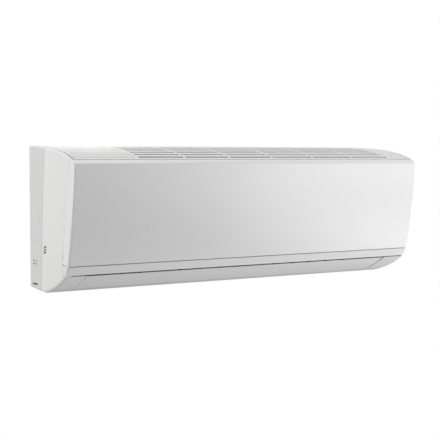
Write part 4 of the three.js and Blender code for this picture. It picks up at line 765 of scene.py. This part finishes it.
def sideSlits():
    look = basePiece
    a, b = -panelEndCut, -half + look["sideRim"]
    cuts = [blockPiece("slit", a, b, d, d + look["slitLength"], h, h + look["slitWidth"])
            for d in look["slitDepths"] for h in look["slitHeights"]]
    return merged("slits", cuts + [blockPiece("slit", a, b, *look["lowSlot"])])


def baseShell():  # outer skin of the base moulding
    look = basePiece
    back = look["back"]
    inner = half - look["sideRim"]
    piece = caseShell("base_shell", 0, casing["wall"])
    side = [(back + 1, -beyond)] + seamCurve(-casing["seam"] * casing["baseShare"]) + [(back + 1, sky)]
    keep = prismPiece("flank", side, -panelEndCut, -inner)
    combined(keep, prismPiece("flank", side, inner, panelEndCut), "UNION")
    top = blockPiece("top", 1 - panelEndCut, panelEndCut - 1, back, look["topDepth"], midHeight, sky)
    low = blockPiece("low", -inner, inner, back, look["bottomDepth"], -beyond - 2, look["bottomHeight"])
    combined(keep, top, "UNION")
    combined(keep, low, "UNION")
    combined(piece, keep, "INTERSECT")
    combined(piece, sideSlits(), "DIFFERENCE")
    return finished(piece, basePlastic, "housing", ["rear_chassis"], look["softEdge"])


def baseInner():  # walls, rails and duct of the base moulding, clear of the smooth skin
    copy = tidyMesh(duplicate(nodes["rear_chassis"], "base_inner"))
    combined(copy, caseBlock("core", basePiece["innerInset"]), "INTERSECT")
    return finished(copy, basePlastic, "housing", [], 0)


frontPanel()
print("front panel done")
lowerTrim()
endCap(-1, "left_end_cap")
endCap(1, "right_end_cap")
print("covers done")
inletGrille()
bottomCover("left")
bottomCover("right")
louverFlap()
baseShell()
baseInner()


# painted shade: black pads behind the slots in the left side, and along the seams of the panel and the flap, so
# that what shows through them reads dark where there is only shade
shadePadPiece = {
    "gap": 0.25, "wall": 2.0, "shadeBehindSlots": ((65, 87, 72, 98), (9, 40, 9, 18)),
    "panelSeamShade": (-415.5, 415.5, 173.6, 176.4, 54, 65),
    "flapSeamShade": (-414.0, 414.0, 162.2, 164.6, 40.1, 46.0), "softEdge": 0.3,
}


def shadePads():
    look = shadePadPiece
    pads = []
    # dark pads behind the side slots: painted shade seen through the slots
    for d0, d1, h0, h1 in look["shadeBehindSlots"]:
        outer = -halfLength(d1) + casing["wall"] + look["gap"]
        pads.append(blockPiece("pad", outer, outer + look["wall"], d0, d1, h0, h1))
    # dark strips behind the panel and flap seams: painted shade in the gaps
    pads.append(blockPiece("panel_seam_shade", *look["panelSeamShade"]))
    pads.append(blockPiece("flap_seam_shade", *look["flapSeamShade"]))
    pads = merged("painted_shade_pads", pads)
    return finished(pads, blackRubber, "housing", [], look["softEdge"])


shadePads()


# blank walls behind the flap, at either side of the air duct
sideWallPiece = {
    "spans": ((-377.4, -264.8), (346.8, 368.8)), "clear": 11.6, "inset": 11.0, "wall": 1.8,
    "rear": (96, 8.4), "bellyDepths": (112, 158), "front": [(162, 50), (166.5, 60)], "softEdge": 0.3,
}


def outletSideWalls():
    look = sideWallPiece
    rear, front = look["bellyDepths"]
    belly = inwardOffset(bezier(casing["bellyHandles"], 40), look["inset"])
    line = [look["rear"]] + arc(flapPivot, look["clear"], 170, 75, 12)
    line += [p for p in belly[::-1] if rear < p[0] < front] + look["front"]
    outline = band(line, -look["wall"])
    walls = merged("outlet_side_walls", [prismPiece("wall", outline, a, b) for a, b in look["spans"]])
    return finished(walls, whitePlastic, "housing", [], look["softEdge"])


outletSideWalls()
print("casing done")


# the coil: thin fins in rows, tubes through them, end plates and return bends
fanSpan = (-258.0, 350.0)
ductSpan = (-262.0, 344.0)
coilPiece = {
    "left": -267.1, "right": 349.1, "thickness": 24.0, "finPitch": 1.8, "fin": 0.4,
    "tube": 3.6, "tubeRow": 11.0, "tubeShares": (0.25, 0.75), "bendReach": 9.0, "bendRoot": 0.6,
    "endPlate": 1.5, "plateGap": 0.3, "plateMargin": 1.0, "plateEdge": 0.2,
}
coilSlabs = {  # one end of the middle line, the other end, outward direction
    "coil_lower": ((164.44, 178.68), (153.86, 110.5), (0.988, -0.153)),
    "coil_upper": ((105.0, 238.0), (155.44, 188.18), (0.703, 0.711)),
    "coil_rear": ((44.48, 175.36), (86.99, 230.97), (-0.794, 0.607)),
}


def slabPoint(slab, share, out):
    start, end, normal = (Vector(v) for v in slab)
    return tuple(start.lerp(end, share) + normal * out)


def slabOutline(slab, margin=0.0, reach=None):
    reach = coilPiece["thickness"] / 2 if reach is None else reach
    length = math.dist(slab[0], slab[1])
    low, high = margin / length, 1 - margin / length
    return [slabPoint(slab, low, -reach), slabPoint(slab, low, reach),
            slabPoint(slab, high, reach), slabPoint(slab, high, -reach)]


def tubeCentres(slab):
    row = coilPiece["tubeRow"] / 2
    return [[slabPoint(slab, share, side * row) for side in (-1, 1)]
            for share in coilPiece["tubeShares"]]


def roundBar(name, centre, radius, x0, x1, sides=24):
    return prismPiece(name, ringOf(centre, radius, sides), x0, x1)


def finStack(name):
    look = coilPiece
    slab = coilSlabs[name]
    count = int((look["right"] - look["left"]) / look["finPitch"])
    fin = prismPiece(name + "_fins", slabOutline(slab), 0, look["fin"])
    grown(fin, rowTree, aluminiumFins, Count=count,
          First=(look["left"] * mm, 0, 0), Pitch=(look["finPitch"] * mm, 0, 0))
    finished(fin, aluminiumFins, "housing", [name], 0)
    tubes = merged(name + "_tubes", [
        roundBar("tube", centre, look["tube"], look["left"], look["right"], 12)
        for row in tubeCentres(slab) for centre in row])
    finished(tubes, copper, "housing", [], 0)


def pathObject(name, points):
    mesh = bpy.data.meshes.new(name)
    mesh.from_pydata([tuple(place(*p)) for p in points], [(i, i + 1) for i in range(len(points) - 1)], [])
    obj = bpy.data.objects.new(name, mesh)
    bpy.context.scene.collection.objects.link(obj)
    return obj


def tube(name, points, radius, finish, sides=14):
    return tidyMesh(grown(pathObject(name, points), tubeTree, finish, Radius=radius * mm, Sides=sides))


def roundedPath(corners, radius, steps=8):  # straight runs joined by arcs
    corners = [Vector(c) for c in corners]
    points = [corners[0]]
    for before, corner, after in zip(corners, corners[1:], corners[2:]):
        arriving = (corner - before).normalized()
        leaving = (after - corner).normalized()
        turn = arriving.angle(leaving)
        trim = radius * math.tan(turn / 2)
        entry = corner - arriving * trim
        inward = (leaving - arriving * leaving.dot(arriving)).normalized()
        for k in range(steps + 1):
            angle = turn * k / steps
            ahead = arriving * (radius * math.sin(angle))
            points.append(entry + ahead + inward * (radius * (1 - math.cos(angle))))
    return [tuple(p) for p in points + [corners[-1]]]


def coilEnd(name, sign):
    look = coilPiece
    face = look["left"] - look["plateGap"] if sign < 0 else look["right"] + look["plateGap"]
    a, b = sorted((face, face + sign * look["endPlate"]))
    margin = look["plateMargin"]
    plates = None
    for slab in coilSlabs.values():
        plate = prismPiece("plate", slabOutline(slab, margin, look["thickness"] / 2 - margin), a, b)
        plates = combined(plates, plate, "UNION") if plates else plate
    plates.name = name + "_plates"
    finished(plates, zincPlate, "housing", [name], look["plateEdge"])
    bends = []
    for slabName, slab in coilSlabs.items():
        for index, (low, high) in enumerate(tubeCentres(slab)):
            if sign < 0 and slabName == "coil_lower" and index == 1:
                continue  # the refrigerant lines leave here
            root = face + sign * look["bendRoot"]
            end = face + sign * (look["endPlate"] + look["bendReach"])
            corners = [(root, *low), (end, *low), (end, *high), (root, *high)]
            path = roundedPath(corners, look["tubeRow"] / 2 - 0.05, 7)
            bends.append(tube("bend", path, look["tube"], copper))
    finished(merged(name + "_bends", bends), copper, "housing", [], 0, 60)


for slabName in coilSlabs:
    finStack(slabName)
coilEnd("coil_end_left", -1)
coilEnd("coil_end_right", 1)
print("coil done")


# cross-flow fan: curved blades round the axle, in bays parted by rings
fanPiece = {
    "radius": 45.92, "blades": 35, "bays": 8, "bladeDepth": 9.2, "bladeEdge": 0.9, "bladeWall": 1.3,
    "sweep": 13.0, "bellyShare": 0.55, "bellySweep": 0.1,
    "ringDepth": 11.5, "ringWidth": 2.2, "ringSoft": 0.4,
    "hub": 11.0, "hubBore": 4.3, "hubLength": 18.0, "hubSoft": 1.0, "shaft": 4.0, "shaftSoft": 0.6,
    "shaftSpan": (-356.0, -245.0), "endInset": 1.0, "stubRoot": 3.0,
}


def turnedPoint(radius, degrees):
    return (radius * math.cos(math.radians(degrees)), radius * math.sin(math.radians(degrees)))


def bladeOutline():
    look = fanPiece
    inner = look["radius"] - look["bladeDepth"]
    outer = look["radius"] - look["bladeEdge"]
    middle = inner + look["bladeDepth"] * look["bellyShare"]
    line = bezier([turnedPoint(inner, 0), turnedPoint(middle, look["sweep"] * look["bellySweep"]),
                   turnedPoint(outer, look["sweep"])], 8)
    count = len(line) - 1
    above, below = [], []
    for i, point in enumerate(line):
        swell = look["bladeWall"] * (0.35 + 0.65 * math.sin(math.pi * (0.08 + 0.84 * i / count)))
        above.append(inwardOffset(line, swell / 2)[i])
        below.append(inwardOffset(line, -swell / 2)[i])
    return above + below[::-1]


def aboutAxis(name, outline, x0, x1):  # drawn round the row's origin line, for turning
    count = len(outline)
    vertices = [Vector((x * mm, -d * mm, h * mm)) for x in (x0, x1) for d, h in outline]
    faces = [tuple(range(count)), tuple(range(2 * count - 1, count - 1, -1))]
    faces += [(i, i + count, (i + 1) % count + count, (i + 1) % count) for i in range(count)]
    return tidyMesh(meshObject(name, vertices, faces))


def lathe(name, centre, stations, sides=48):  # stations are (x, radius) along the unit
    vertices = []
    for x, radius in stations:
        vertices += [place(x, *p) for p in ringOf(centre, max(radius, 0.001), sides)]
    faces = []
    for i in range(len(stations) - 1):
        for j in range(sides):
            k = (j + 1) % sides
            faces.append((i * sides + j, i * sides + k, (i + 1) * sides + k, (i + 1) * sides + j))
    return tidyMesh(meshObject(name, vertices, faces), 0.00002)


def fanDisc(x0, width, innerRadius):
    outer = fanPiece["radius"]
    soft = fanPiece["ringSoft"]
    x1 = x0 + width
    return lathe("disc", fanAxis, [
        (x0, innerRadius), (x0, outer - soft), (x0 + soft, outer), (x1 - soft, outer),
        (x1, outer - soft), (x1, innerRadius), (x0, innerRadius)], 72)


def fanHub(left):  # sleeve on the left disc that grips the shaft
    look = fanPiece
    bore, hub, soft = look["hubBore"], look["hub"], look["hubSoft"]
    end = left + look["hubLength"]
    return lathe("hub", fanAxis, [
        (left, bore), (left, hub), (end - soft, hub), (end, hub - soft), (end, bore), (left, bore)])


def fanStub(right):  # short axle that turns in the bearing
    look = fanPiece
    radius, soft = look["shaft"], look["shaftSoft"]
    root = right - look["stubRoot"]
    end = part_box("cross_flow_fan")[1].x / mm
    return lathe("stub", fanAxis, [
        (root, 0), (root, radius), (end - soft, radius), (end, radius - soft), (end, 0)])


def fanShaft():
    radius, soft = fanPiece["shaft"], fanPiece["shaftSoft"]
    a, b = fanPiece["shaftSpan"]
    shaft = lathe("fan_shaft_bar", fanAxis, [
        (a, 0), (a, radius - soft), (a + soft, radius), (b - soft, radius), (b, radius - soft), (b, 0)], 32)
    finished(shaft, steel, "blower", ["fan_shaft"], 0)


def crossFlowFan():
    look = fanPiece
    left, right = fanSpan
    ring = look["ringWidth"]
    bay = (right - left) / look["bays"]
    inset = look["endInset"]
    blade = aboutAxis("blades", bladeOutline(), left + inset, right - inset)
    grown(blade, roundTree, darkPlastic, Count=look["blades"], Angle=2 * math.pi / look["blades"],
          Centre=tuple(place(0, *fanAxis)))
    pieces = [blade]
    ringInner = look["radius"] - look["ringDepth"]
    pieces += [fanDisc(left + bay * i - ring / 2, ring, ringInner) for i in range(1, look["bays"])]
    pieces += [fanDisc(x, ring, look["hubBore"]) for x in (left, right - ring)]
    pieces += [fanHub(left), fanStub(right)]
    fan = merged("cross_flow_fan_wheel", pieces)
    finished(fan, darkPlastic, "blower", ["cross_flow_fan"], 0)
    fanShaft()


crossFlowFan()
print("fan done")


# motor and the bearing; the motor's strap is among the kept pieces further down
motorPiece = {
    "left": -350.0, "right": -300.0,
    # one end of the shell, from the bore outwards: (distance from the end, radius)
    "end": [(-3, 4.3), (-3, 11.2), (-2.4, 12), (1, 12), (1, 16), (1.4, 29),
            (3.2, 33.8), (5, 35.4), (6.5, 36)],
    "groove": [(22, 36), (22.5, 35.3), (25, 35.3), (25.5, 36)],
}


def fanMotor():
    look = motorPiece
    left, right = look["left"], look["right"]
    stations = [(left + x, radius) for x, radius in look["end"] + look["groove"]]
    stations += [(right - x, radius) for x, radius in look["end"][::-1]]
    shell = lathe("fan_motor_body", fanAxis, stations + stations[:1], 72)
    finished(shell, zincPlate, "housing", ["fan_motor"], 0)


bearingPiece = {
    "bore": 4.3, "ring": 13.0, "flange": 17.0, "flangeWidth": 3.2, "ringSoft": 0.6, "flangeSoft": 0.5,
}


def bearing():
    look = bearingPiece
    bore, ring, flange = look["bore"], look["ring"], look["flange"]
    soft, edge = look["ringSoft"], look["flangeSoft"]
    low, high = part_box("bearing_bush")
    a, b = low.x / mm, high.x / mm
    step = b - look["flangeWidth"]
    stations = [(a, bore), (a, ring - soft), (a + soft, ring), (step, ring), (step, flange - edge),
                (step + edge, flange), (b - edge, flange), (b, flange - edge), (b, bore), (a, bore)]
    bush = lathe("bearing_bush_ring", fanAxis, stations)
    finished(bush, blackRubber, "housing", ["bearing_bush"], 0)


fanMotor()
bearing()


# air filters: moulded rim and ribs round a fine net
filterPiece = {
    "low": (167.71, 84.0), "turn": (187.88, 214.0), "bend": (150.33, 219.83), "end": (112.0, 257.83),
    "radius": 38.0, "sag": 1.6, "rim": 2.9, "rimWidth": 7.0, "net": 0.28, "netPitch": 2.3, "netInset": 2.0,
    "spans": {"left": (-259.0, 39.5), "right": (42.5, 341.0)},
    "uprights": (1, 2, 3, 5, 6, 7), "uprightCells": 8, "upright": 1.8, "ribThinner": 0.6,
    "railShares": (0.17, 0.34, 0.67, 0.84), "rail": 0.9, "rimRail": 2.5, "headRail": 114.6,
    "tabHeight": 95, "tabReach": 4, "tabEdge": 2, "tabRoot": 9, "tabHalf": 17, "softEdge": 0.3,
}


def filterLine(steps=16):
    look = filterPiece
    start = math.degrees(math.atan2(look["turn"][1] - look["bend"][1], look["turn"][0] - look["bend"][0]))
    bend = arc(look["bend"], look["radius"], start, 90, steps)
    for i in range(1, steps):
        sag = look["sag"] * math.sqrt(math.sin(math.pi * i / steps))
        bend[i] = tuple(Vector(bend[i]).lerp(Vector(look["bend"]), sag / look["radius"]))
    return [look["low"]] + bend + [look["end"]]


def alongLine(line, pitch):  # evenly spaced points on a line
    spots = [line[0]]
    left = pitch
    for a, b in zip(line, line[1:]):
        length = math.dist(a, b)
        walked = 0.0
        while length - walked >= left:
            walked += left
            spots.append(tuple(Vector(a).lerp(Vector(b), walked / length)))
            left = pitch
        left -= length - walked
    return spots


def filterNetting(side):
    look = filterPiece
    x0, x1 = look["spans"][side]
    x0, x1 = x0 + look["netInset"], x1 - look["netInset"]
    count = int((x1 - x0) / look["netPitch"])
    upright = tube("wire", [(0, *p) for p in filterLine(8)], look["net"], filterNet, 3)
    grown(upright, rowTree, filterNet, Count=count,
          First=(x0 * mm, 0, 0), Pitch=((x1 - x0) / count * mm, 0, 0))
    spots = alongLine(filterLine(16), look["netPitch"])[1:]
    level = merged("level", [tube("wire", [(x0, *p), (x1, *p)], look["net"], filterNet, 3) for p in spots])
    net = merged("filter_net_" + side, [upright, level])
    return finished(net, filterNet, "filter_slide_" + side, [], 0, 70)


def rail(centre, direction, reach, thickness):  # a bar across the filter, drawn in section
    across = Vector((direction.y, -direction.x)) * (thickness / 2)
    a, b = centre - direction * reach, centre + direction * reach
    return [tuple(a - across), tuple(b - across), tuple(b + across), tuple(a + across)]


def filterUprights(side):
    look = filterPiece
    x0, x1 = look["spans"][side]
    wide, rim, thinner = look["rimWidth"], look["rim"], look["ribThinner"]
    line = filterLine(14)
    slim = band(inwardOffset(line, thinner - rim / 2), rim - 2 * thinner)
    full = band(inwardOffset(line, -rim / 2), rim)
    middle = (x0 + x1) / 2
    cell = (x1 - x0 - wide) / look["uprightCells"]
    starts = [x0 + cell * i + wide / 2 - look["upright"] / 2 for i in look["uprights"]]
    bars = [prismPiece("bar", slim, a, a + look["upright"]) for a in starts]
    for a, b in ((x0, x0 + wide), (middle - wide / 4, middle + wide / 4), (x1 - wide, x1)):
        bars.append(prismPiece("bar", full, a, b))
    uprights = bars[0]
    for bar in bars[1:]:
        combined(uprights, bar, "UNION")
    return uprights


def filterFrame(side):
    look = filterPiece
    x0, x1 = look["spans"][side]
    rim, edge = look["rim"], look["rimRail"]
    low = Vector(look["low"])
    rise = (Vector(look["turn"]) - low).normalized()
    out = Vector((rise.y, -rise.x))
    run = math.dist(look["low"], look["turn"])
    head = Vector((look["headRail"], look["end"][1]))
    rails = [rail(low + rise * (edge + 0.1), rise, edge, rim), rail(low + rise * (run / 2), rise, edge, rim)]
    rails += [rail(low + rise * (run * share), rise, look["rail"], rim - 2 * look["ribThinner"])
              for share in look["railShares"]]
    rails.append(rail(head, Vector((-1, 0)), edge, rim))
    frameBars = filterUprights(side)
    for outline in rails:
        combined(frameBars, prismPiece("rail", outline, x0, x1), "UNION")
    foot = low + rise * ((look["tabHeight"] - low.y) / rise.y)
    reach = out * (rim / 2 + look["tabReach"])
    tab = [tuple(foot), tuple(foot + reach), tuple(foot + rise * look["tabEdge"] + reach),
           tuple(foot + rise * look["tabRoot"])]
    middle = (x0 + x1) / 2
    combined(frameBars, prismPiece("tab", tab, middle - look["tabHalf"], middle + look["tabHalf"]), "UNION")
    frameBars.name = "filter_frame_" + side
    return finished(frameBars, filterNet, "filter_slide_" + side, ["filter_" + side],
                    look["softEdge"])


for side in ("left", "right"):
    filterFrame(side)
    filterNetting(side)
print("filters done")


# refrigerant lines and their flare nuts; the flap's drive is among the kept pieces further down
linePiece = {
    "start": -269.2, "end": 48.0, "depth": 26.0, "bend": 18.0,
    "gas_pipe": {"row": -1, "drop": 38.0, "fall": 66.0, "height": 50.0, "radius": 4.76},
    "liquid_pipe": {"row": 1, "drop": 26.0, "fall": 71.0, "height": 26.0, "radius": 3.18},
}


def coolantLine(name):
    look = linePiece[name]
    start, end, back = linePiece["start"], linePiece["end"], linePiece["depth"]
    topTubes = coilPiece["tubeShares"][1]
    depth, height = slabPoint(coilSlabs["coil_lower"], topTubes, look["row"] * coilPiece["tubeRow"] / 2)
    fall = ductSpan[0] - look["drop"]
    corners = [(start, depth, height), (fall, depth, height), (fall, depth, look["fall"]),
               (fall, back, look["height"]), (end, back, look["height"])]
    bend = min(linePiece["bend"], (start - fall) * 0.9)
    line = tube(name + "_line", roundedPath(corners, bend, 12), look["radius"], copper, 24)
    finished(line, copper, "housing", [name], 0, 60)


nutPiece = {
    "wall": 4.2, "hexShare": 0.7, "domeEnd": 0.86, "domeMiddle": 1.02, "domeEdge": 1.6,
    "neckStart": 2.0, "neckWall": 1.8, "neckSoft": 0.4, "boreGap": 0.5, "softEdge": 0.25,
}


def flareNut(name, line):
    look = nutPiece
    low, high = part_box(name)
    a, b = low.x / mm, high.x / mm
    centre = (linePiece["depth"], linePiece[line]["height"])
    radius = linePiece[line]["radius"]
    across = radius + look["wall"]
    shoulder = a + (b - a) * look["hexShare"]
    body = prismPiece("hexagon", ringOf(centre, across, 6), a, shoulder)
    narrow, wide, edge = across * look["domeEnd"], across * look["domeMiddle"], look["domeEdge"]
    dome = lathe("dome", centre, [
        (a, 0), (a, narrow), (a + edge, wide),
        (shoulder - edge, wide), (shoulder, narrow), (shoulder, 0)], 36)
    combined(body, dome, "INTERSECT")
    start = a + look["neckStart"]
    neckRadius = radius + look["neckWall"]
    soft = look["neckSoft"]
    neck = lathe("neck", centre, [
        (start, 0), (start, neckRadius), (b - soft, neckRadius), (b, neckRadius - soft), (b, 0)], 30)
    combined(body, neck, "UNION")
    bore = roundBar("bore", centre, radius + look["boreGap"], a - behind, b + behind, 30)
    combined(body, bore, "DIFFERENCE")
    body.name = name + "_hex"
    finished(body, brass, "housing", [name], look["softEdge"])


for name, line in (("gas_flare_nut", "gas_pipe"), ("liquid_flare_nut", "liquid_pipe")):
    coolantLine(line)
    flareNut(name, line)
print("lines done")


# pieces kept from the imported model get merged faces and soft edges; the rest take their finish
slotByNode = {part["node"]: part["material_slot"] for part in frame["record"]["subparts"]}
bodyOf = {name: body for body, names in frame["record"]["behaviour"]["bodies"].items() for name in names}
softPieces = {
    "wall_plate": 0.3, "front_frame": 0.3, "drain_pan": 0.3, "control_box": 0.4, "control_box_cover": 0.4,
    "motor_clamp": 0.3, "pipe_clamp": 0.4, "terminal_block": 0.25, "main_board": 0.15,
    "receiver_board": 0.15, "vane_strip_left": 0.2, "vane_strip_right": 0.2,
    "link_bar_left": 0.2, "link_bar_right": 0.2, "drain_plug": 0.3,
}
softPieces.update({"vane_%d" % i: 0.3 for i in range(1, 13)})


def softened(node, softEdge):
    copy = tidyMesh(duplicate(nodes[node], node + "_piece"))
    work = bmesh.new()
    work.from_mesh(copy.data)
    bmesh.ops.dissolve_limit(work, angle_limit=math.radians(1.0), verts=work.verts, edges=work.edges)
    work.to_mesh(copy.data)
    work.free()
    slot = slotByNode[node]
    return finished(copy, finishBySlot[slot], bodyOf[node], [node], softEdge, 30)


for node, softEdge in softPieces.items():
    softened(node, softEdge)
for node, slot in slotByNode.items():
    nodes[node].data.materials.clear()
    nodes[node].data.materials.append(finishBySlot[slot])
print("inner pieces done")


# room, lamps and camera
room = {
    "floorHeight": -3.2, "floorSize": 16.0, "floorTint": 0.93, "floorShade": 0.9, "floorRoughness": 0.8,
    "fadeStart": 0.8, "fadeEnd": 3.0, "fadeLeast": 0.55, "worldLight": 0.30,
}
lamps = {  # place, target, width, height, power in watts
    "leftSoftbox": ((-2.2, 0.2, 0.4), (-0.4, -0.05, 0.0), 1.2, 1.2, 22.1),
    "frontSoftbox": ((1.3, -2.1, 0.1), (0.2, -0.2, 0.0), 0.9, 1.6, 6.4),
    "lowSoftbox": ((1.0, -1.1, -0.25), (0.35, -0.2, 0.0), 0.7, 0.7, 2.8),
    "rightSoftbox": ((1.0, -0.9, 0.35), (0.25, -0.2, 0.0), 0.9, 1.0, 2.0),
    "topSoftbox": ((0.0, -0.4, 2.2), (0.0, -0.1, 0.0), 2.2, 1.4, 22.1),
    "underSoftbox": ((0.5, -1.3, -1.5), (0.1, -0.15, -0.1), 1.8, 1.2, 6.0),
    "underRightSoftbox": ((1.4, -1.0, -0.9), (0.3, -0.15, -0.1), 1.0, 1.0, 4.2),
    "backSoftbox": ((0.3, 2.4, 0.6), (0.0, 0.0, 0.0), 1.6, 1.2, 18.0),
}
photoView = {"lens": 88.85, "sensor": 36, "place": (-1.26892, -2.04130, 0.1190), "turn": (86.745, 0, -32.483)}


def paleFloor():  # takes the shadow near the unit and fades to plain white far from it
    material, tree, shader = newMaterial("paleFloor")
    where = addNode(tree, "ShaderNodeTexCoord")
    cloud = addNode(tree, "ShaderNodeTexNoise", Scale=1.5, Detail=2.0)
    blend = addNode(tree, "ShaderNodeMix", data_type="RGBA")
    blend.inputs["A"].default_value = rgb(*[room["floorTint"]] * 3)
    blend.inputs["B"].default_value = rgb(*[room["floorShade"]] * 3)
    flat = addNode(tree, "ShaderNodeVectorMath", operation="MULTIPLY")
    flat.inputs[1].default_value = (1, 1, 0)
    away = addNode(tree, "ShaderNodeVectorMath", operation="LENGTH")
    fade = addNode(tree, "ShaderNodeMapRange", From_Min=room["fadeStart"], From_Max=room["fadeEnd"],
                   To_Min=room["fadeLeast"], To_Max=1.0)
    path = addNode(tree, "ShaderNodeLightPath")
    share = addNode(tree, "ShaderNodeMath", operation="MULTIPLY")
    glow = addNode(tree, "ShaderNodeEmission", Strength=1.0)
    mix = addNode(tree, "ShaderNodeMixShader")
    linked(tree, where.outputs["Object"], cloud.inputs["Vector"])
    linked(tree, where.outputs["Object"], flat.inputs[0])
    linked(tree, flat.outputs[0], away.inputs[0])
    linked(tree, cloud.outputs["Fac"], blend.inputs["Factor"])
    linked(tree, blend.outputs["Result"], shader.inputs["Base Color"])
    linked(tree, away.outputs["Value"], fade.inputs["Value"])
    linked(tree, fade.outputs["Result"], share.inputs[0])
    linked(tree, path.outputs["Is Camera Ray"], share.inputs[1])
    linked(tree, share.outputs[0], mix.inputs[0])
    linked(tree, shader.outputs[0], mix.inputs[1])
    linked(tree, glow.outputs[0], mix.inputs[2])
    linked(tree, mix.outputs[0], tree.nodes["Material Output"].inputs["Surface"])
    shader.inputs["Roughness"].default_value = room["floorRoughness"]
    size = room["floorSize"]
    level = room["floorHeight"]
    corners = [(-size, -size, level), (size, -size, level), (size, size, level), (-size, size, level)]
    floor = meshObject("floor", corners, [(0, 1, 2, 3)])
    floor.data.materials.append(material)


def softLamp(name, spot, target, width, height, power):
    lamp = bpy.data.lights.new(name, "AREA")
    lamp.shape = "RECTANGLE"
    lamp.size = width
    lamp.size_y = height
    lamp.energy = power
    obj = bpy.data.objects.new(name, lamp)
    obj.location = spot
    obj.rotation_euler = (Vector(target) - Vector(spot)).to_track_quat("-Z", "Y").to_euler()
    bpy.context.scene.collection.objects.link(obj)


def paleWorld(strength):
    world = bpy.data.worlds.new("studio")
    world.use_nodes = True
    tree = world.node_tree
    seen = tree.nodes["Background"]
    seen.inputs["Color"].default_value = rgb(1, 1, 1)
    lit = addNode(tree, "ShaderNodeBackground")
    lit.inputs["Color"].default_value = rgb(1, 1, 1)
    lit.inputs["Strength"].default_value = strength
    path = addNode(tree, "ShaderNodeLightPath")
    eye = addNode(tree, "ShaderNodeMath", operation="MAXIMUM")
    both = addNode(tree, "ShaderNodeMath", operation="MAXIMUM")
    mix = addNode(tree, "ShaderNodeMixShader")
    linked(tree, path.outputs["Is Camera Ray"], eye.inputs[0])
    linked(tree, path.outputs["Is Glossy Ray"], eye.inputs[1])
    linked(tree, eye.outputs[0], both.inputs[0])
    linked(tree, path.outputs["Is Transmission Ray"], both.inputs[1])
    linked(tree, both.outputs[0], mix.inputs[0])
    linked(tree, lit.outputs[0], mix.inputs[1])
    linked(tree, seen.outputs[0], mix.inputs[2])
    linked(tree, mix.outputs[0], tree.nodes["World Output"].inputs["Surface"])
    bpy.context.scene.world = world


def photoCamera():
    view = bpy.data.cameras.new("photoView")
    view.lens = photoView["lens"]
    view.sensor_width = photoView["sensor"]
    camera = bpy.data.objects.new("photoView", view)
    camera.location = photoView["place"]
    camera.rotation_euler = [math.radians(angle) for angle in photoView["turn"]]
    bpy.context.scene.collection.objects.link(camera)
    bpy.context.scene.camera = camera


paleFloor()
paleWorld(room["worldLight"])
for name, setting in lamps.items():
    softLamp(name, *setting)
photoCamera()
bpy.context.scene.view_settings.view_transform = "Standard"

print("scene ready")
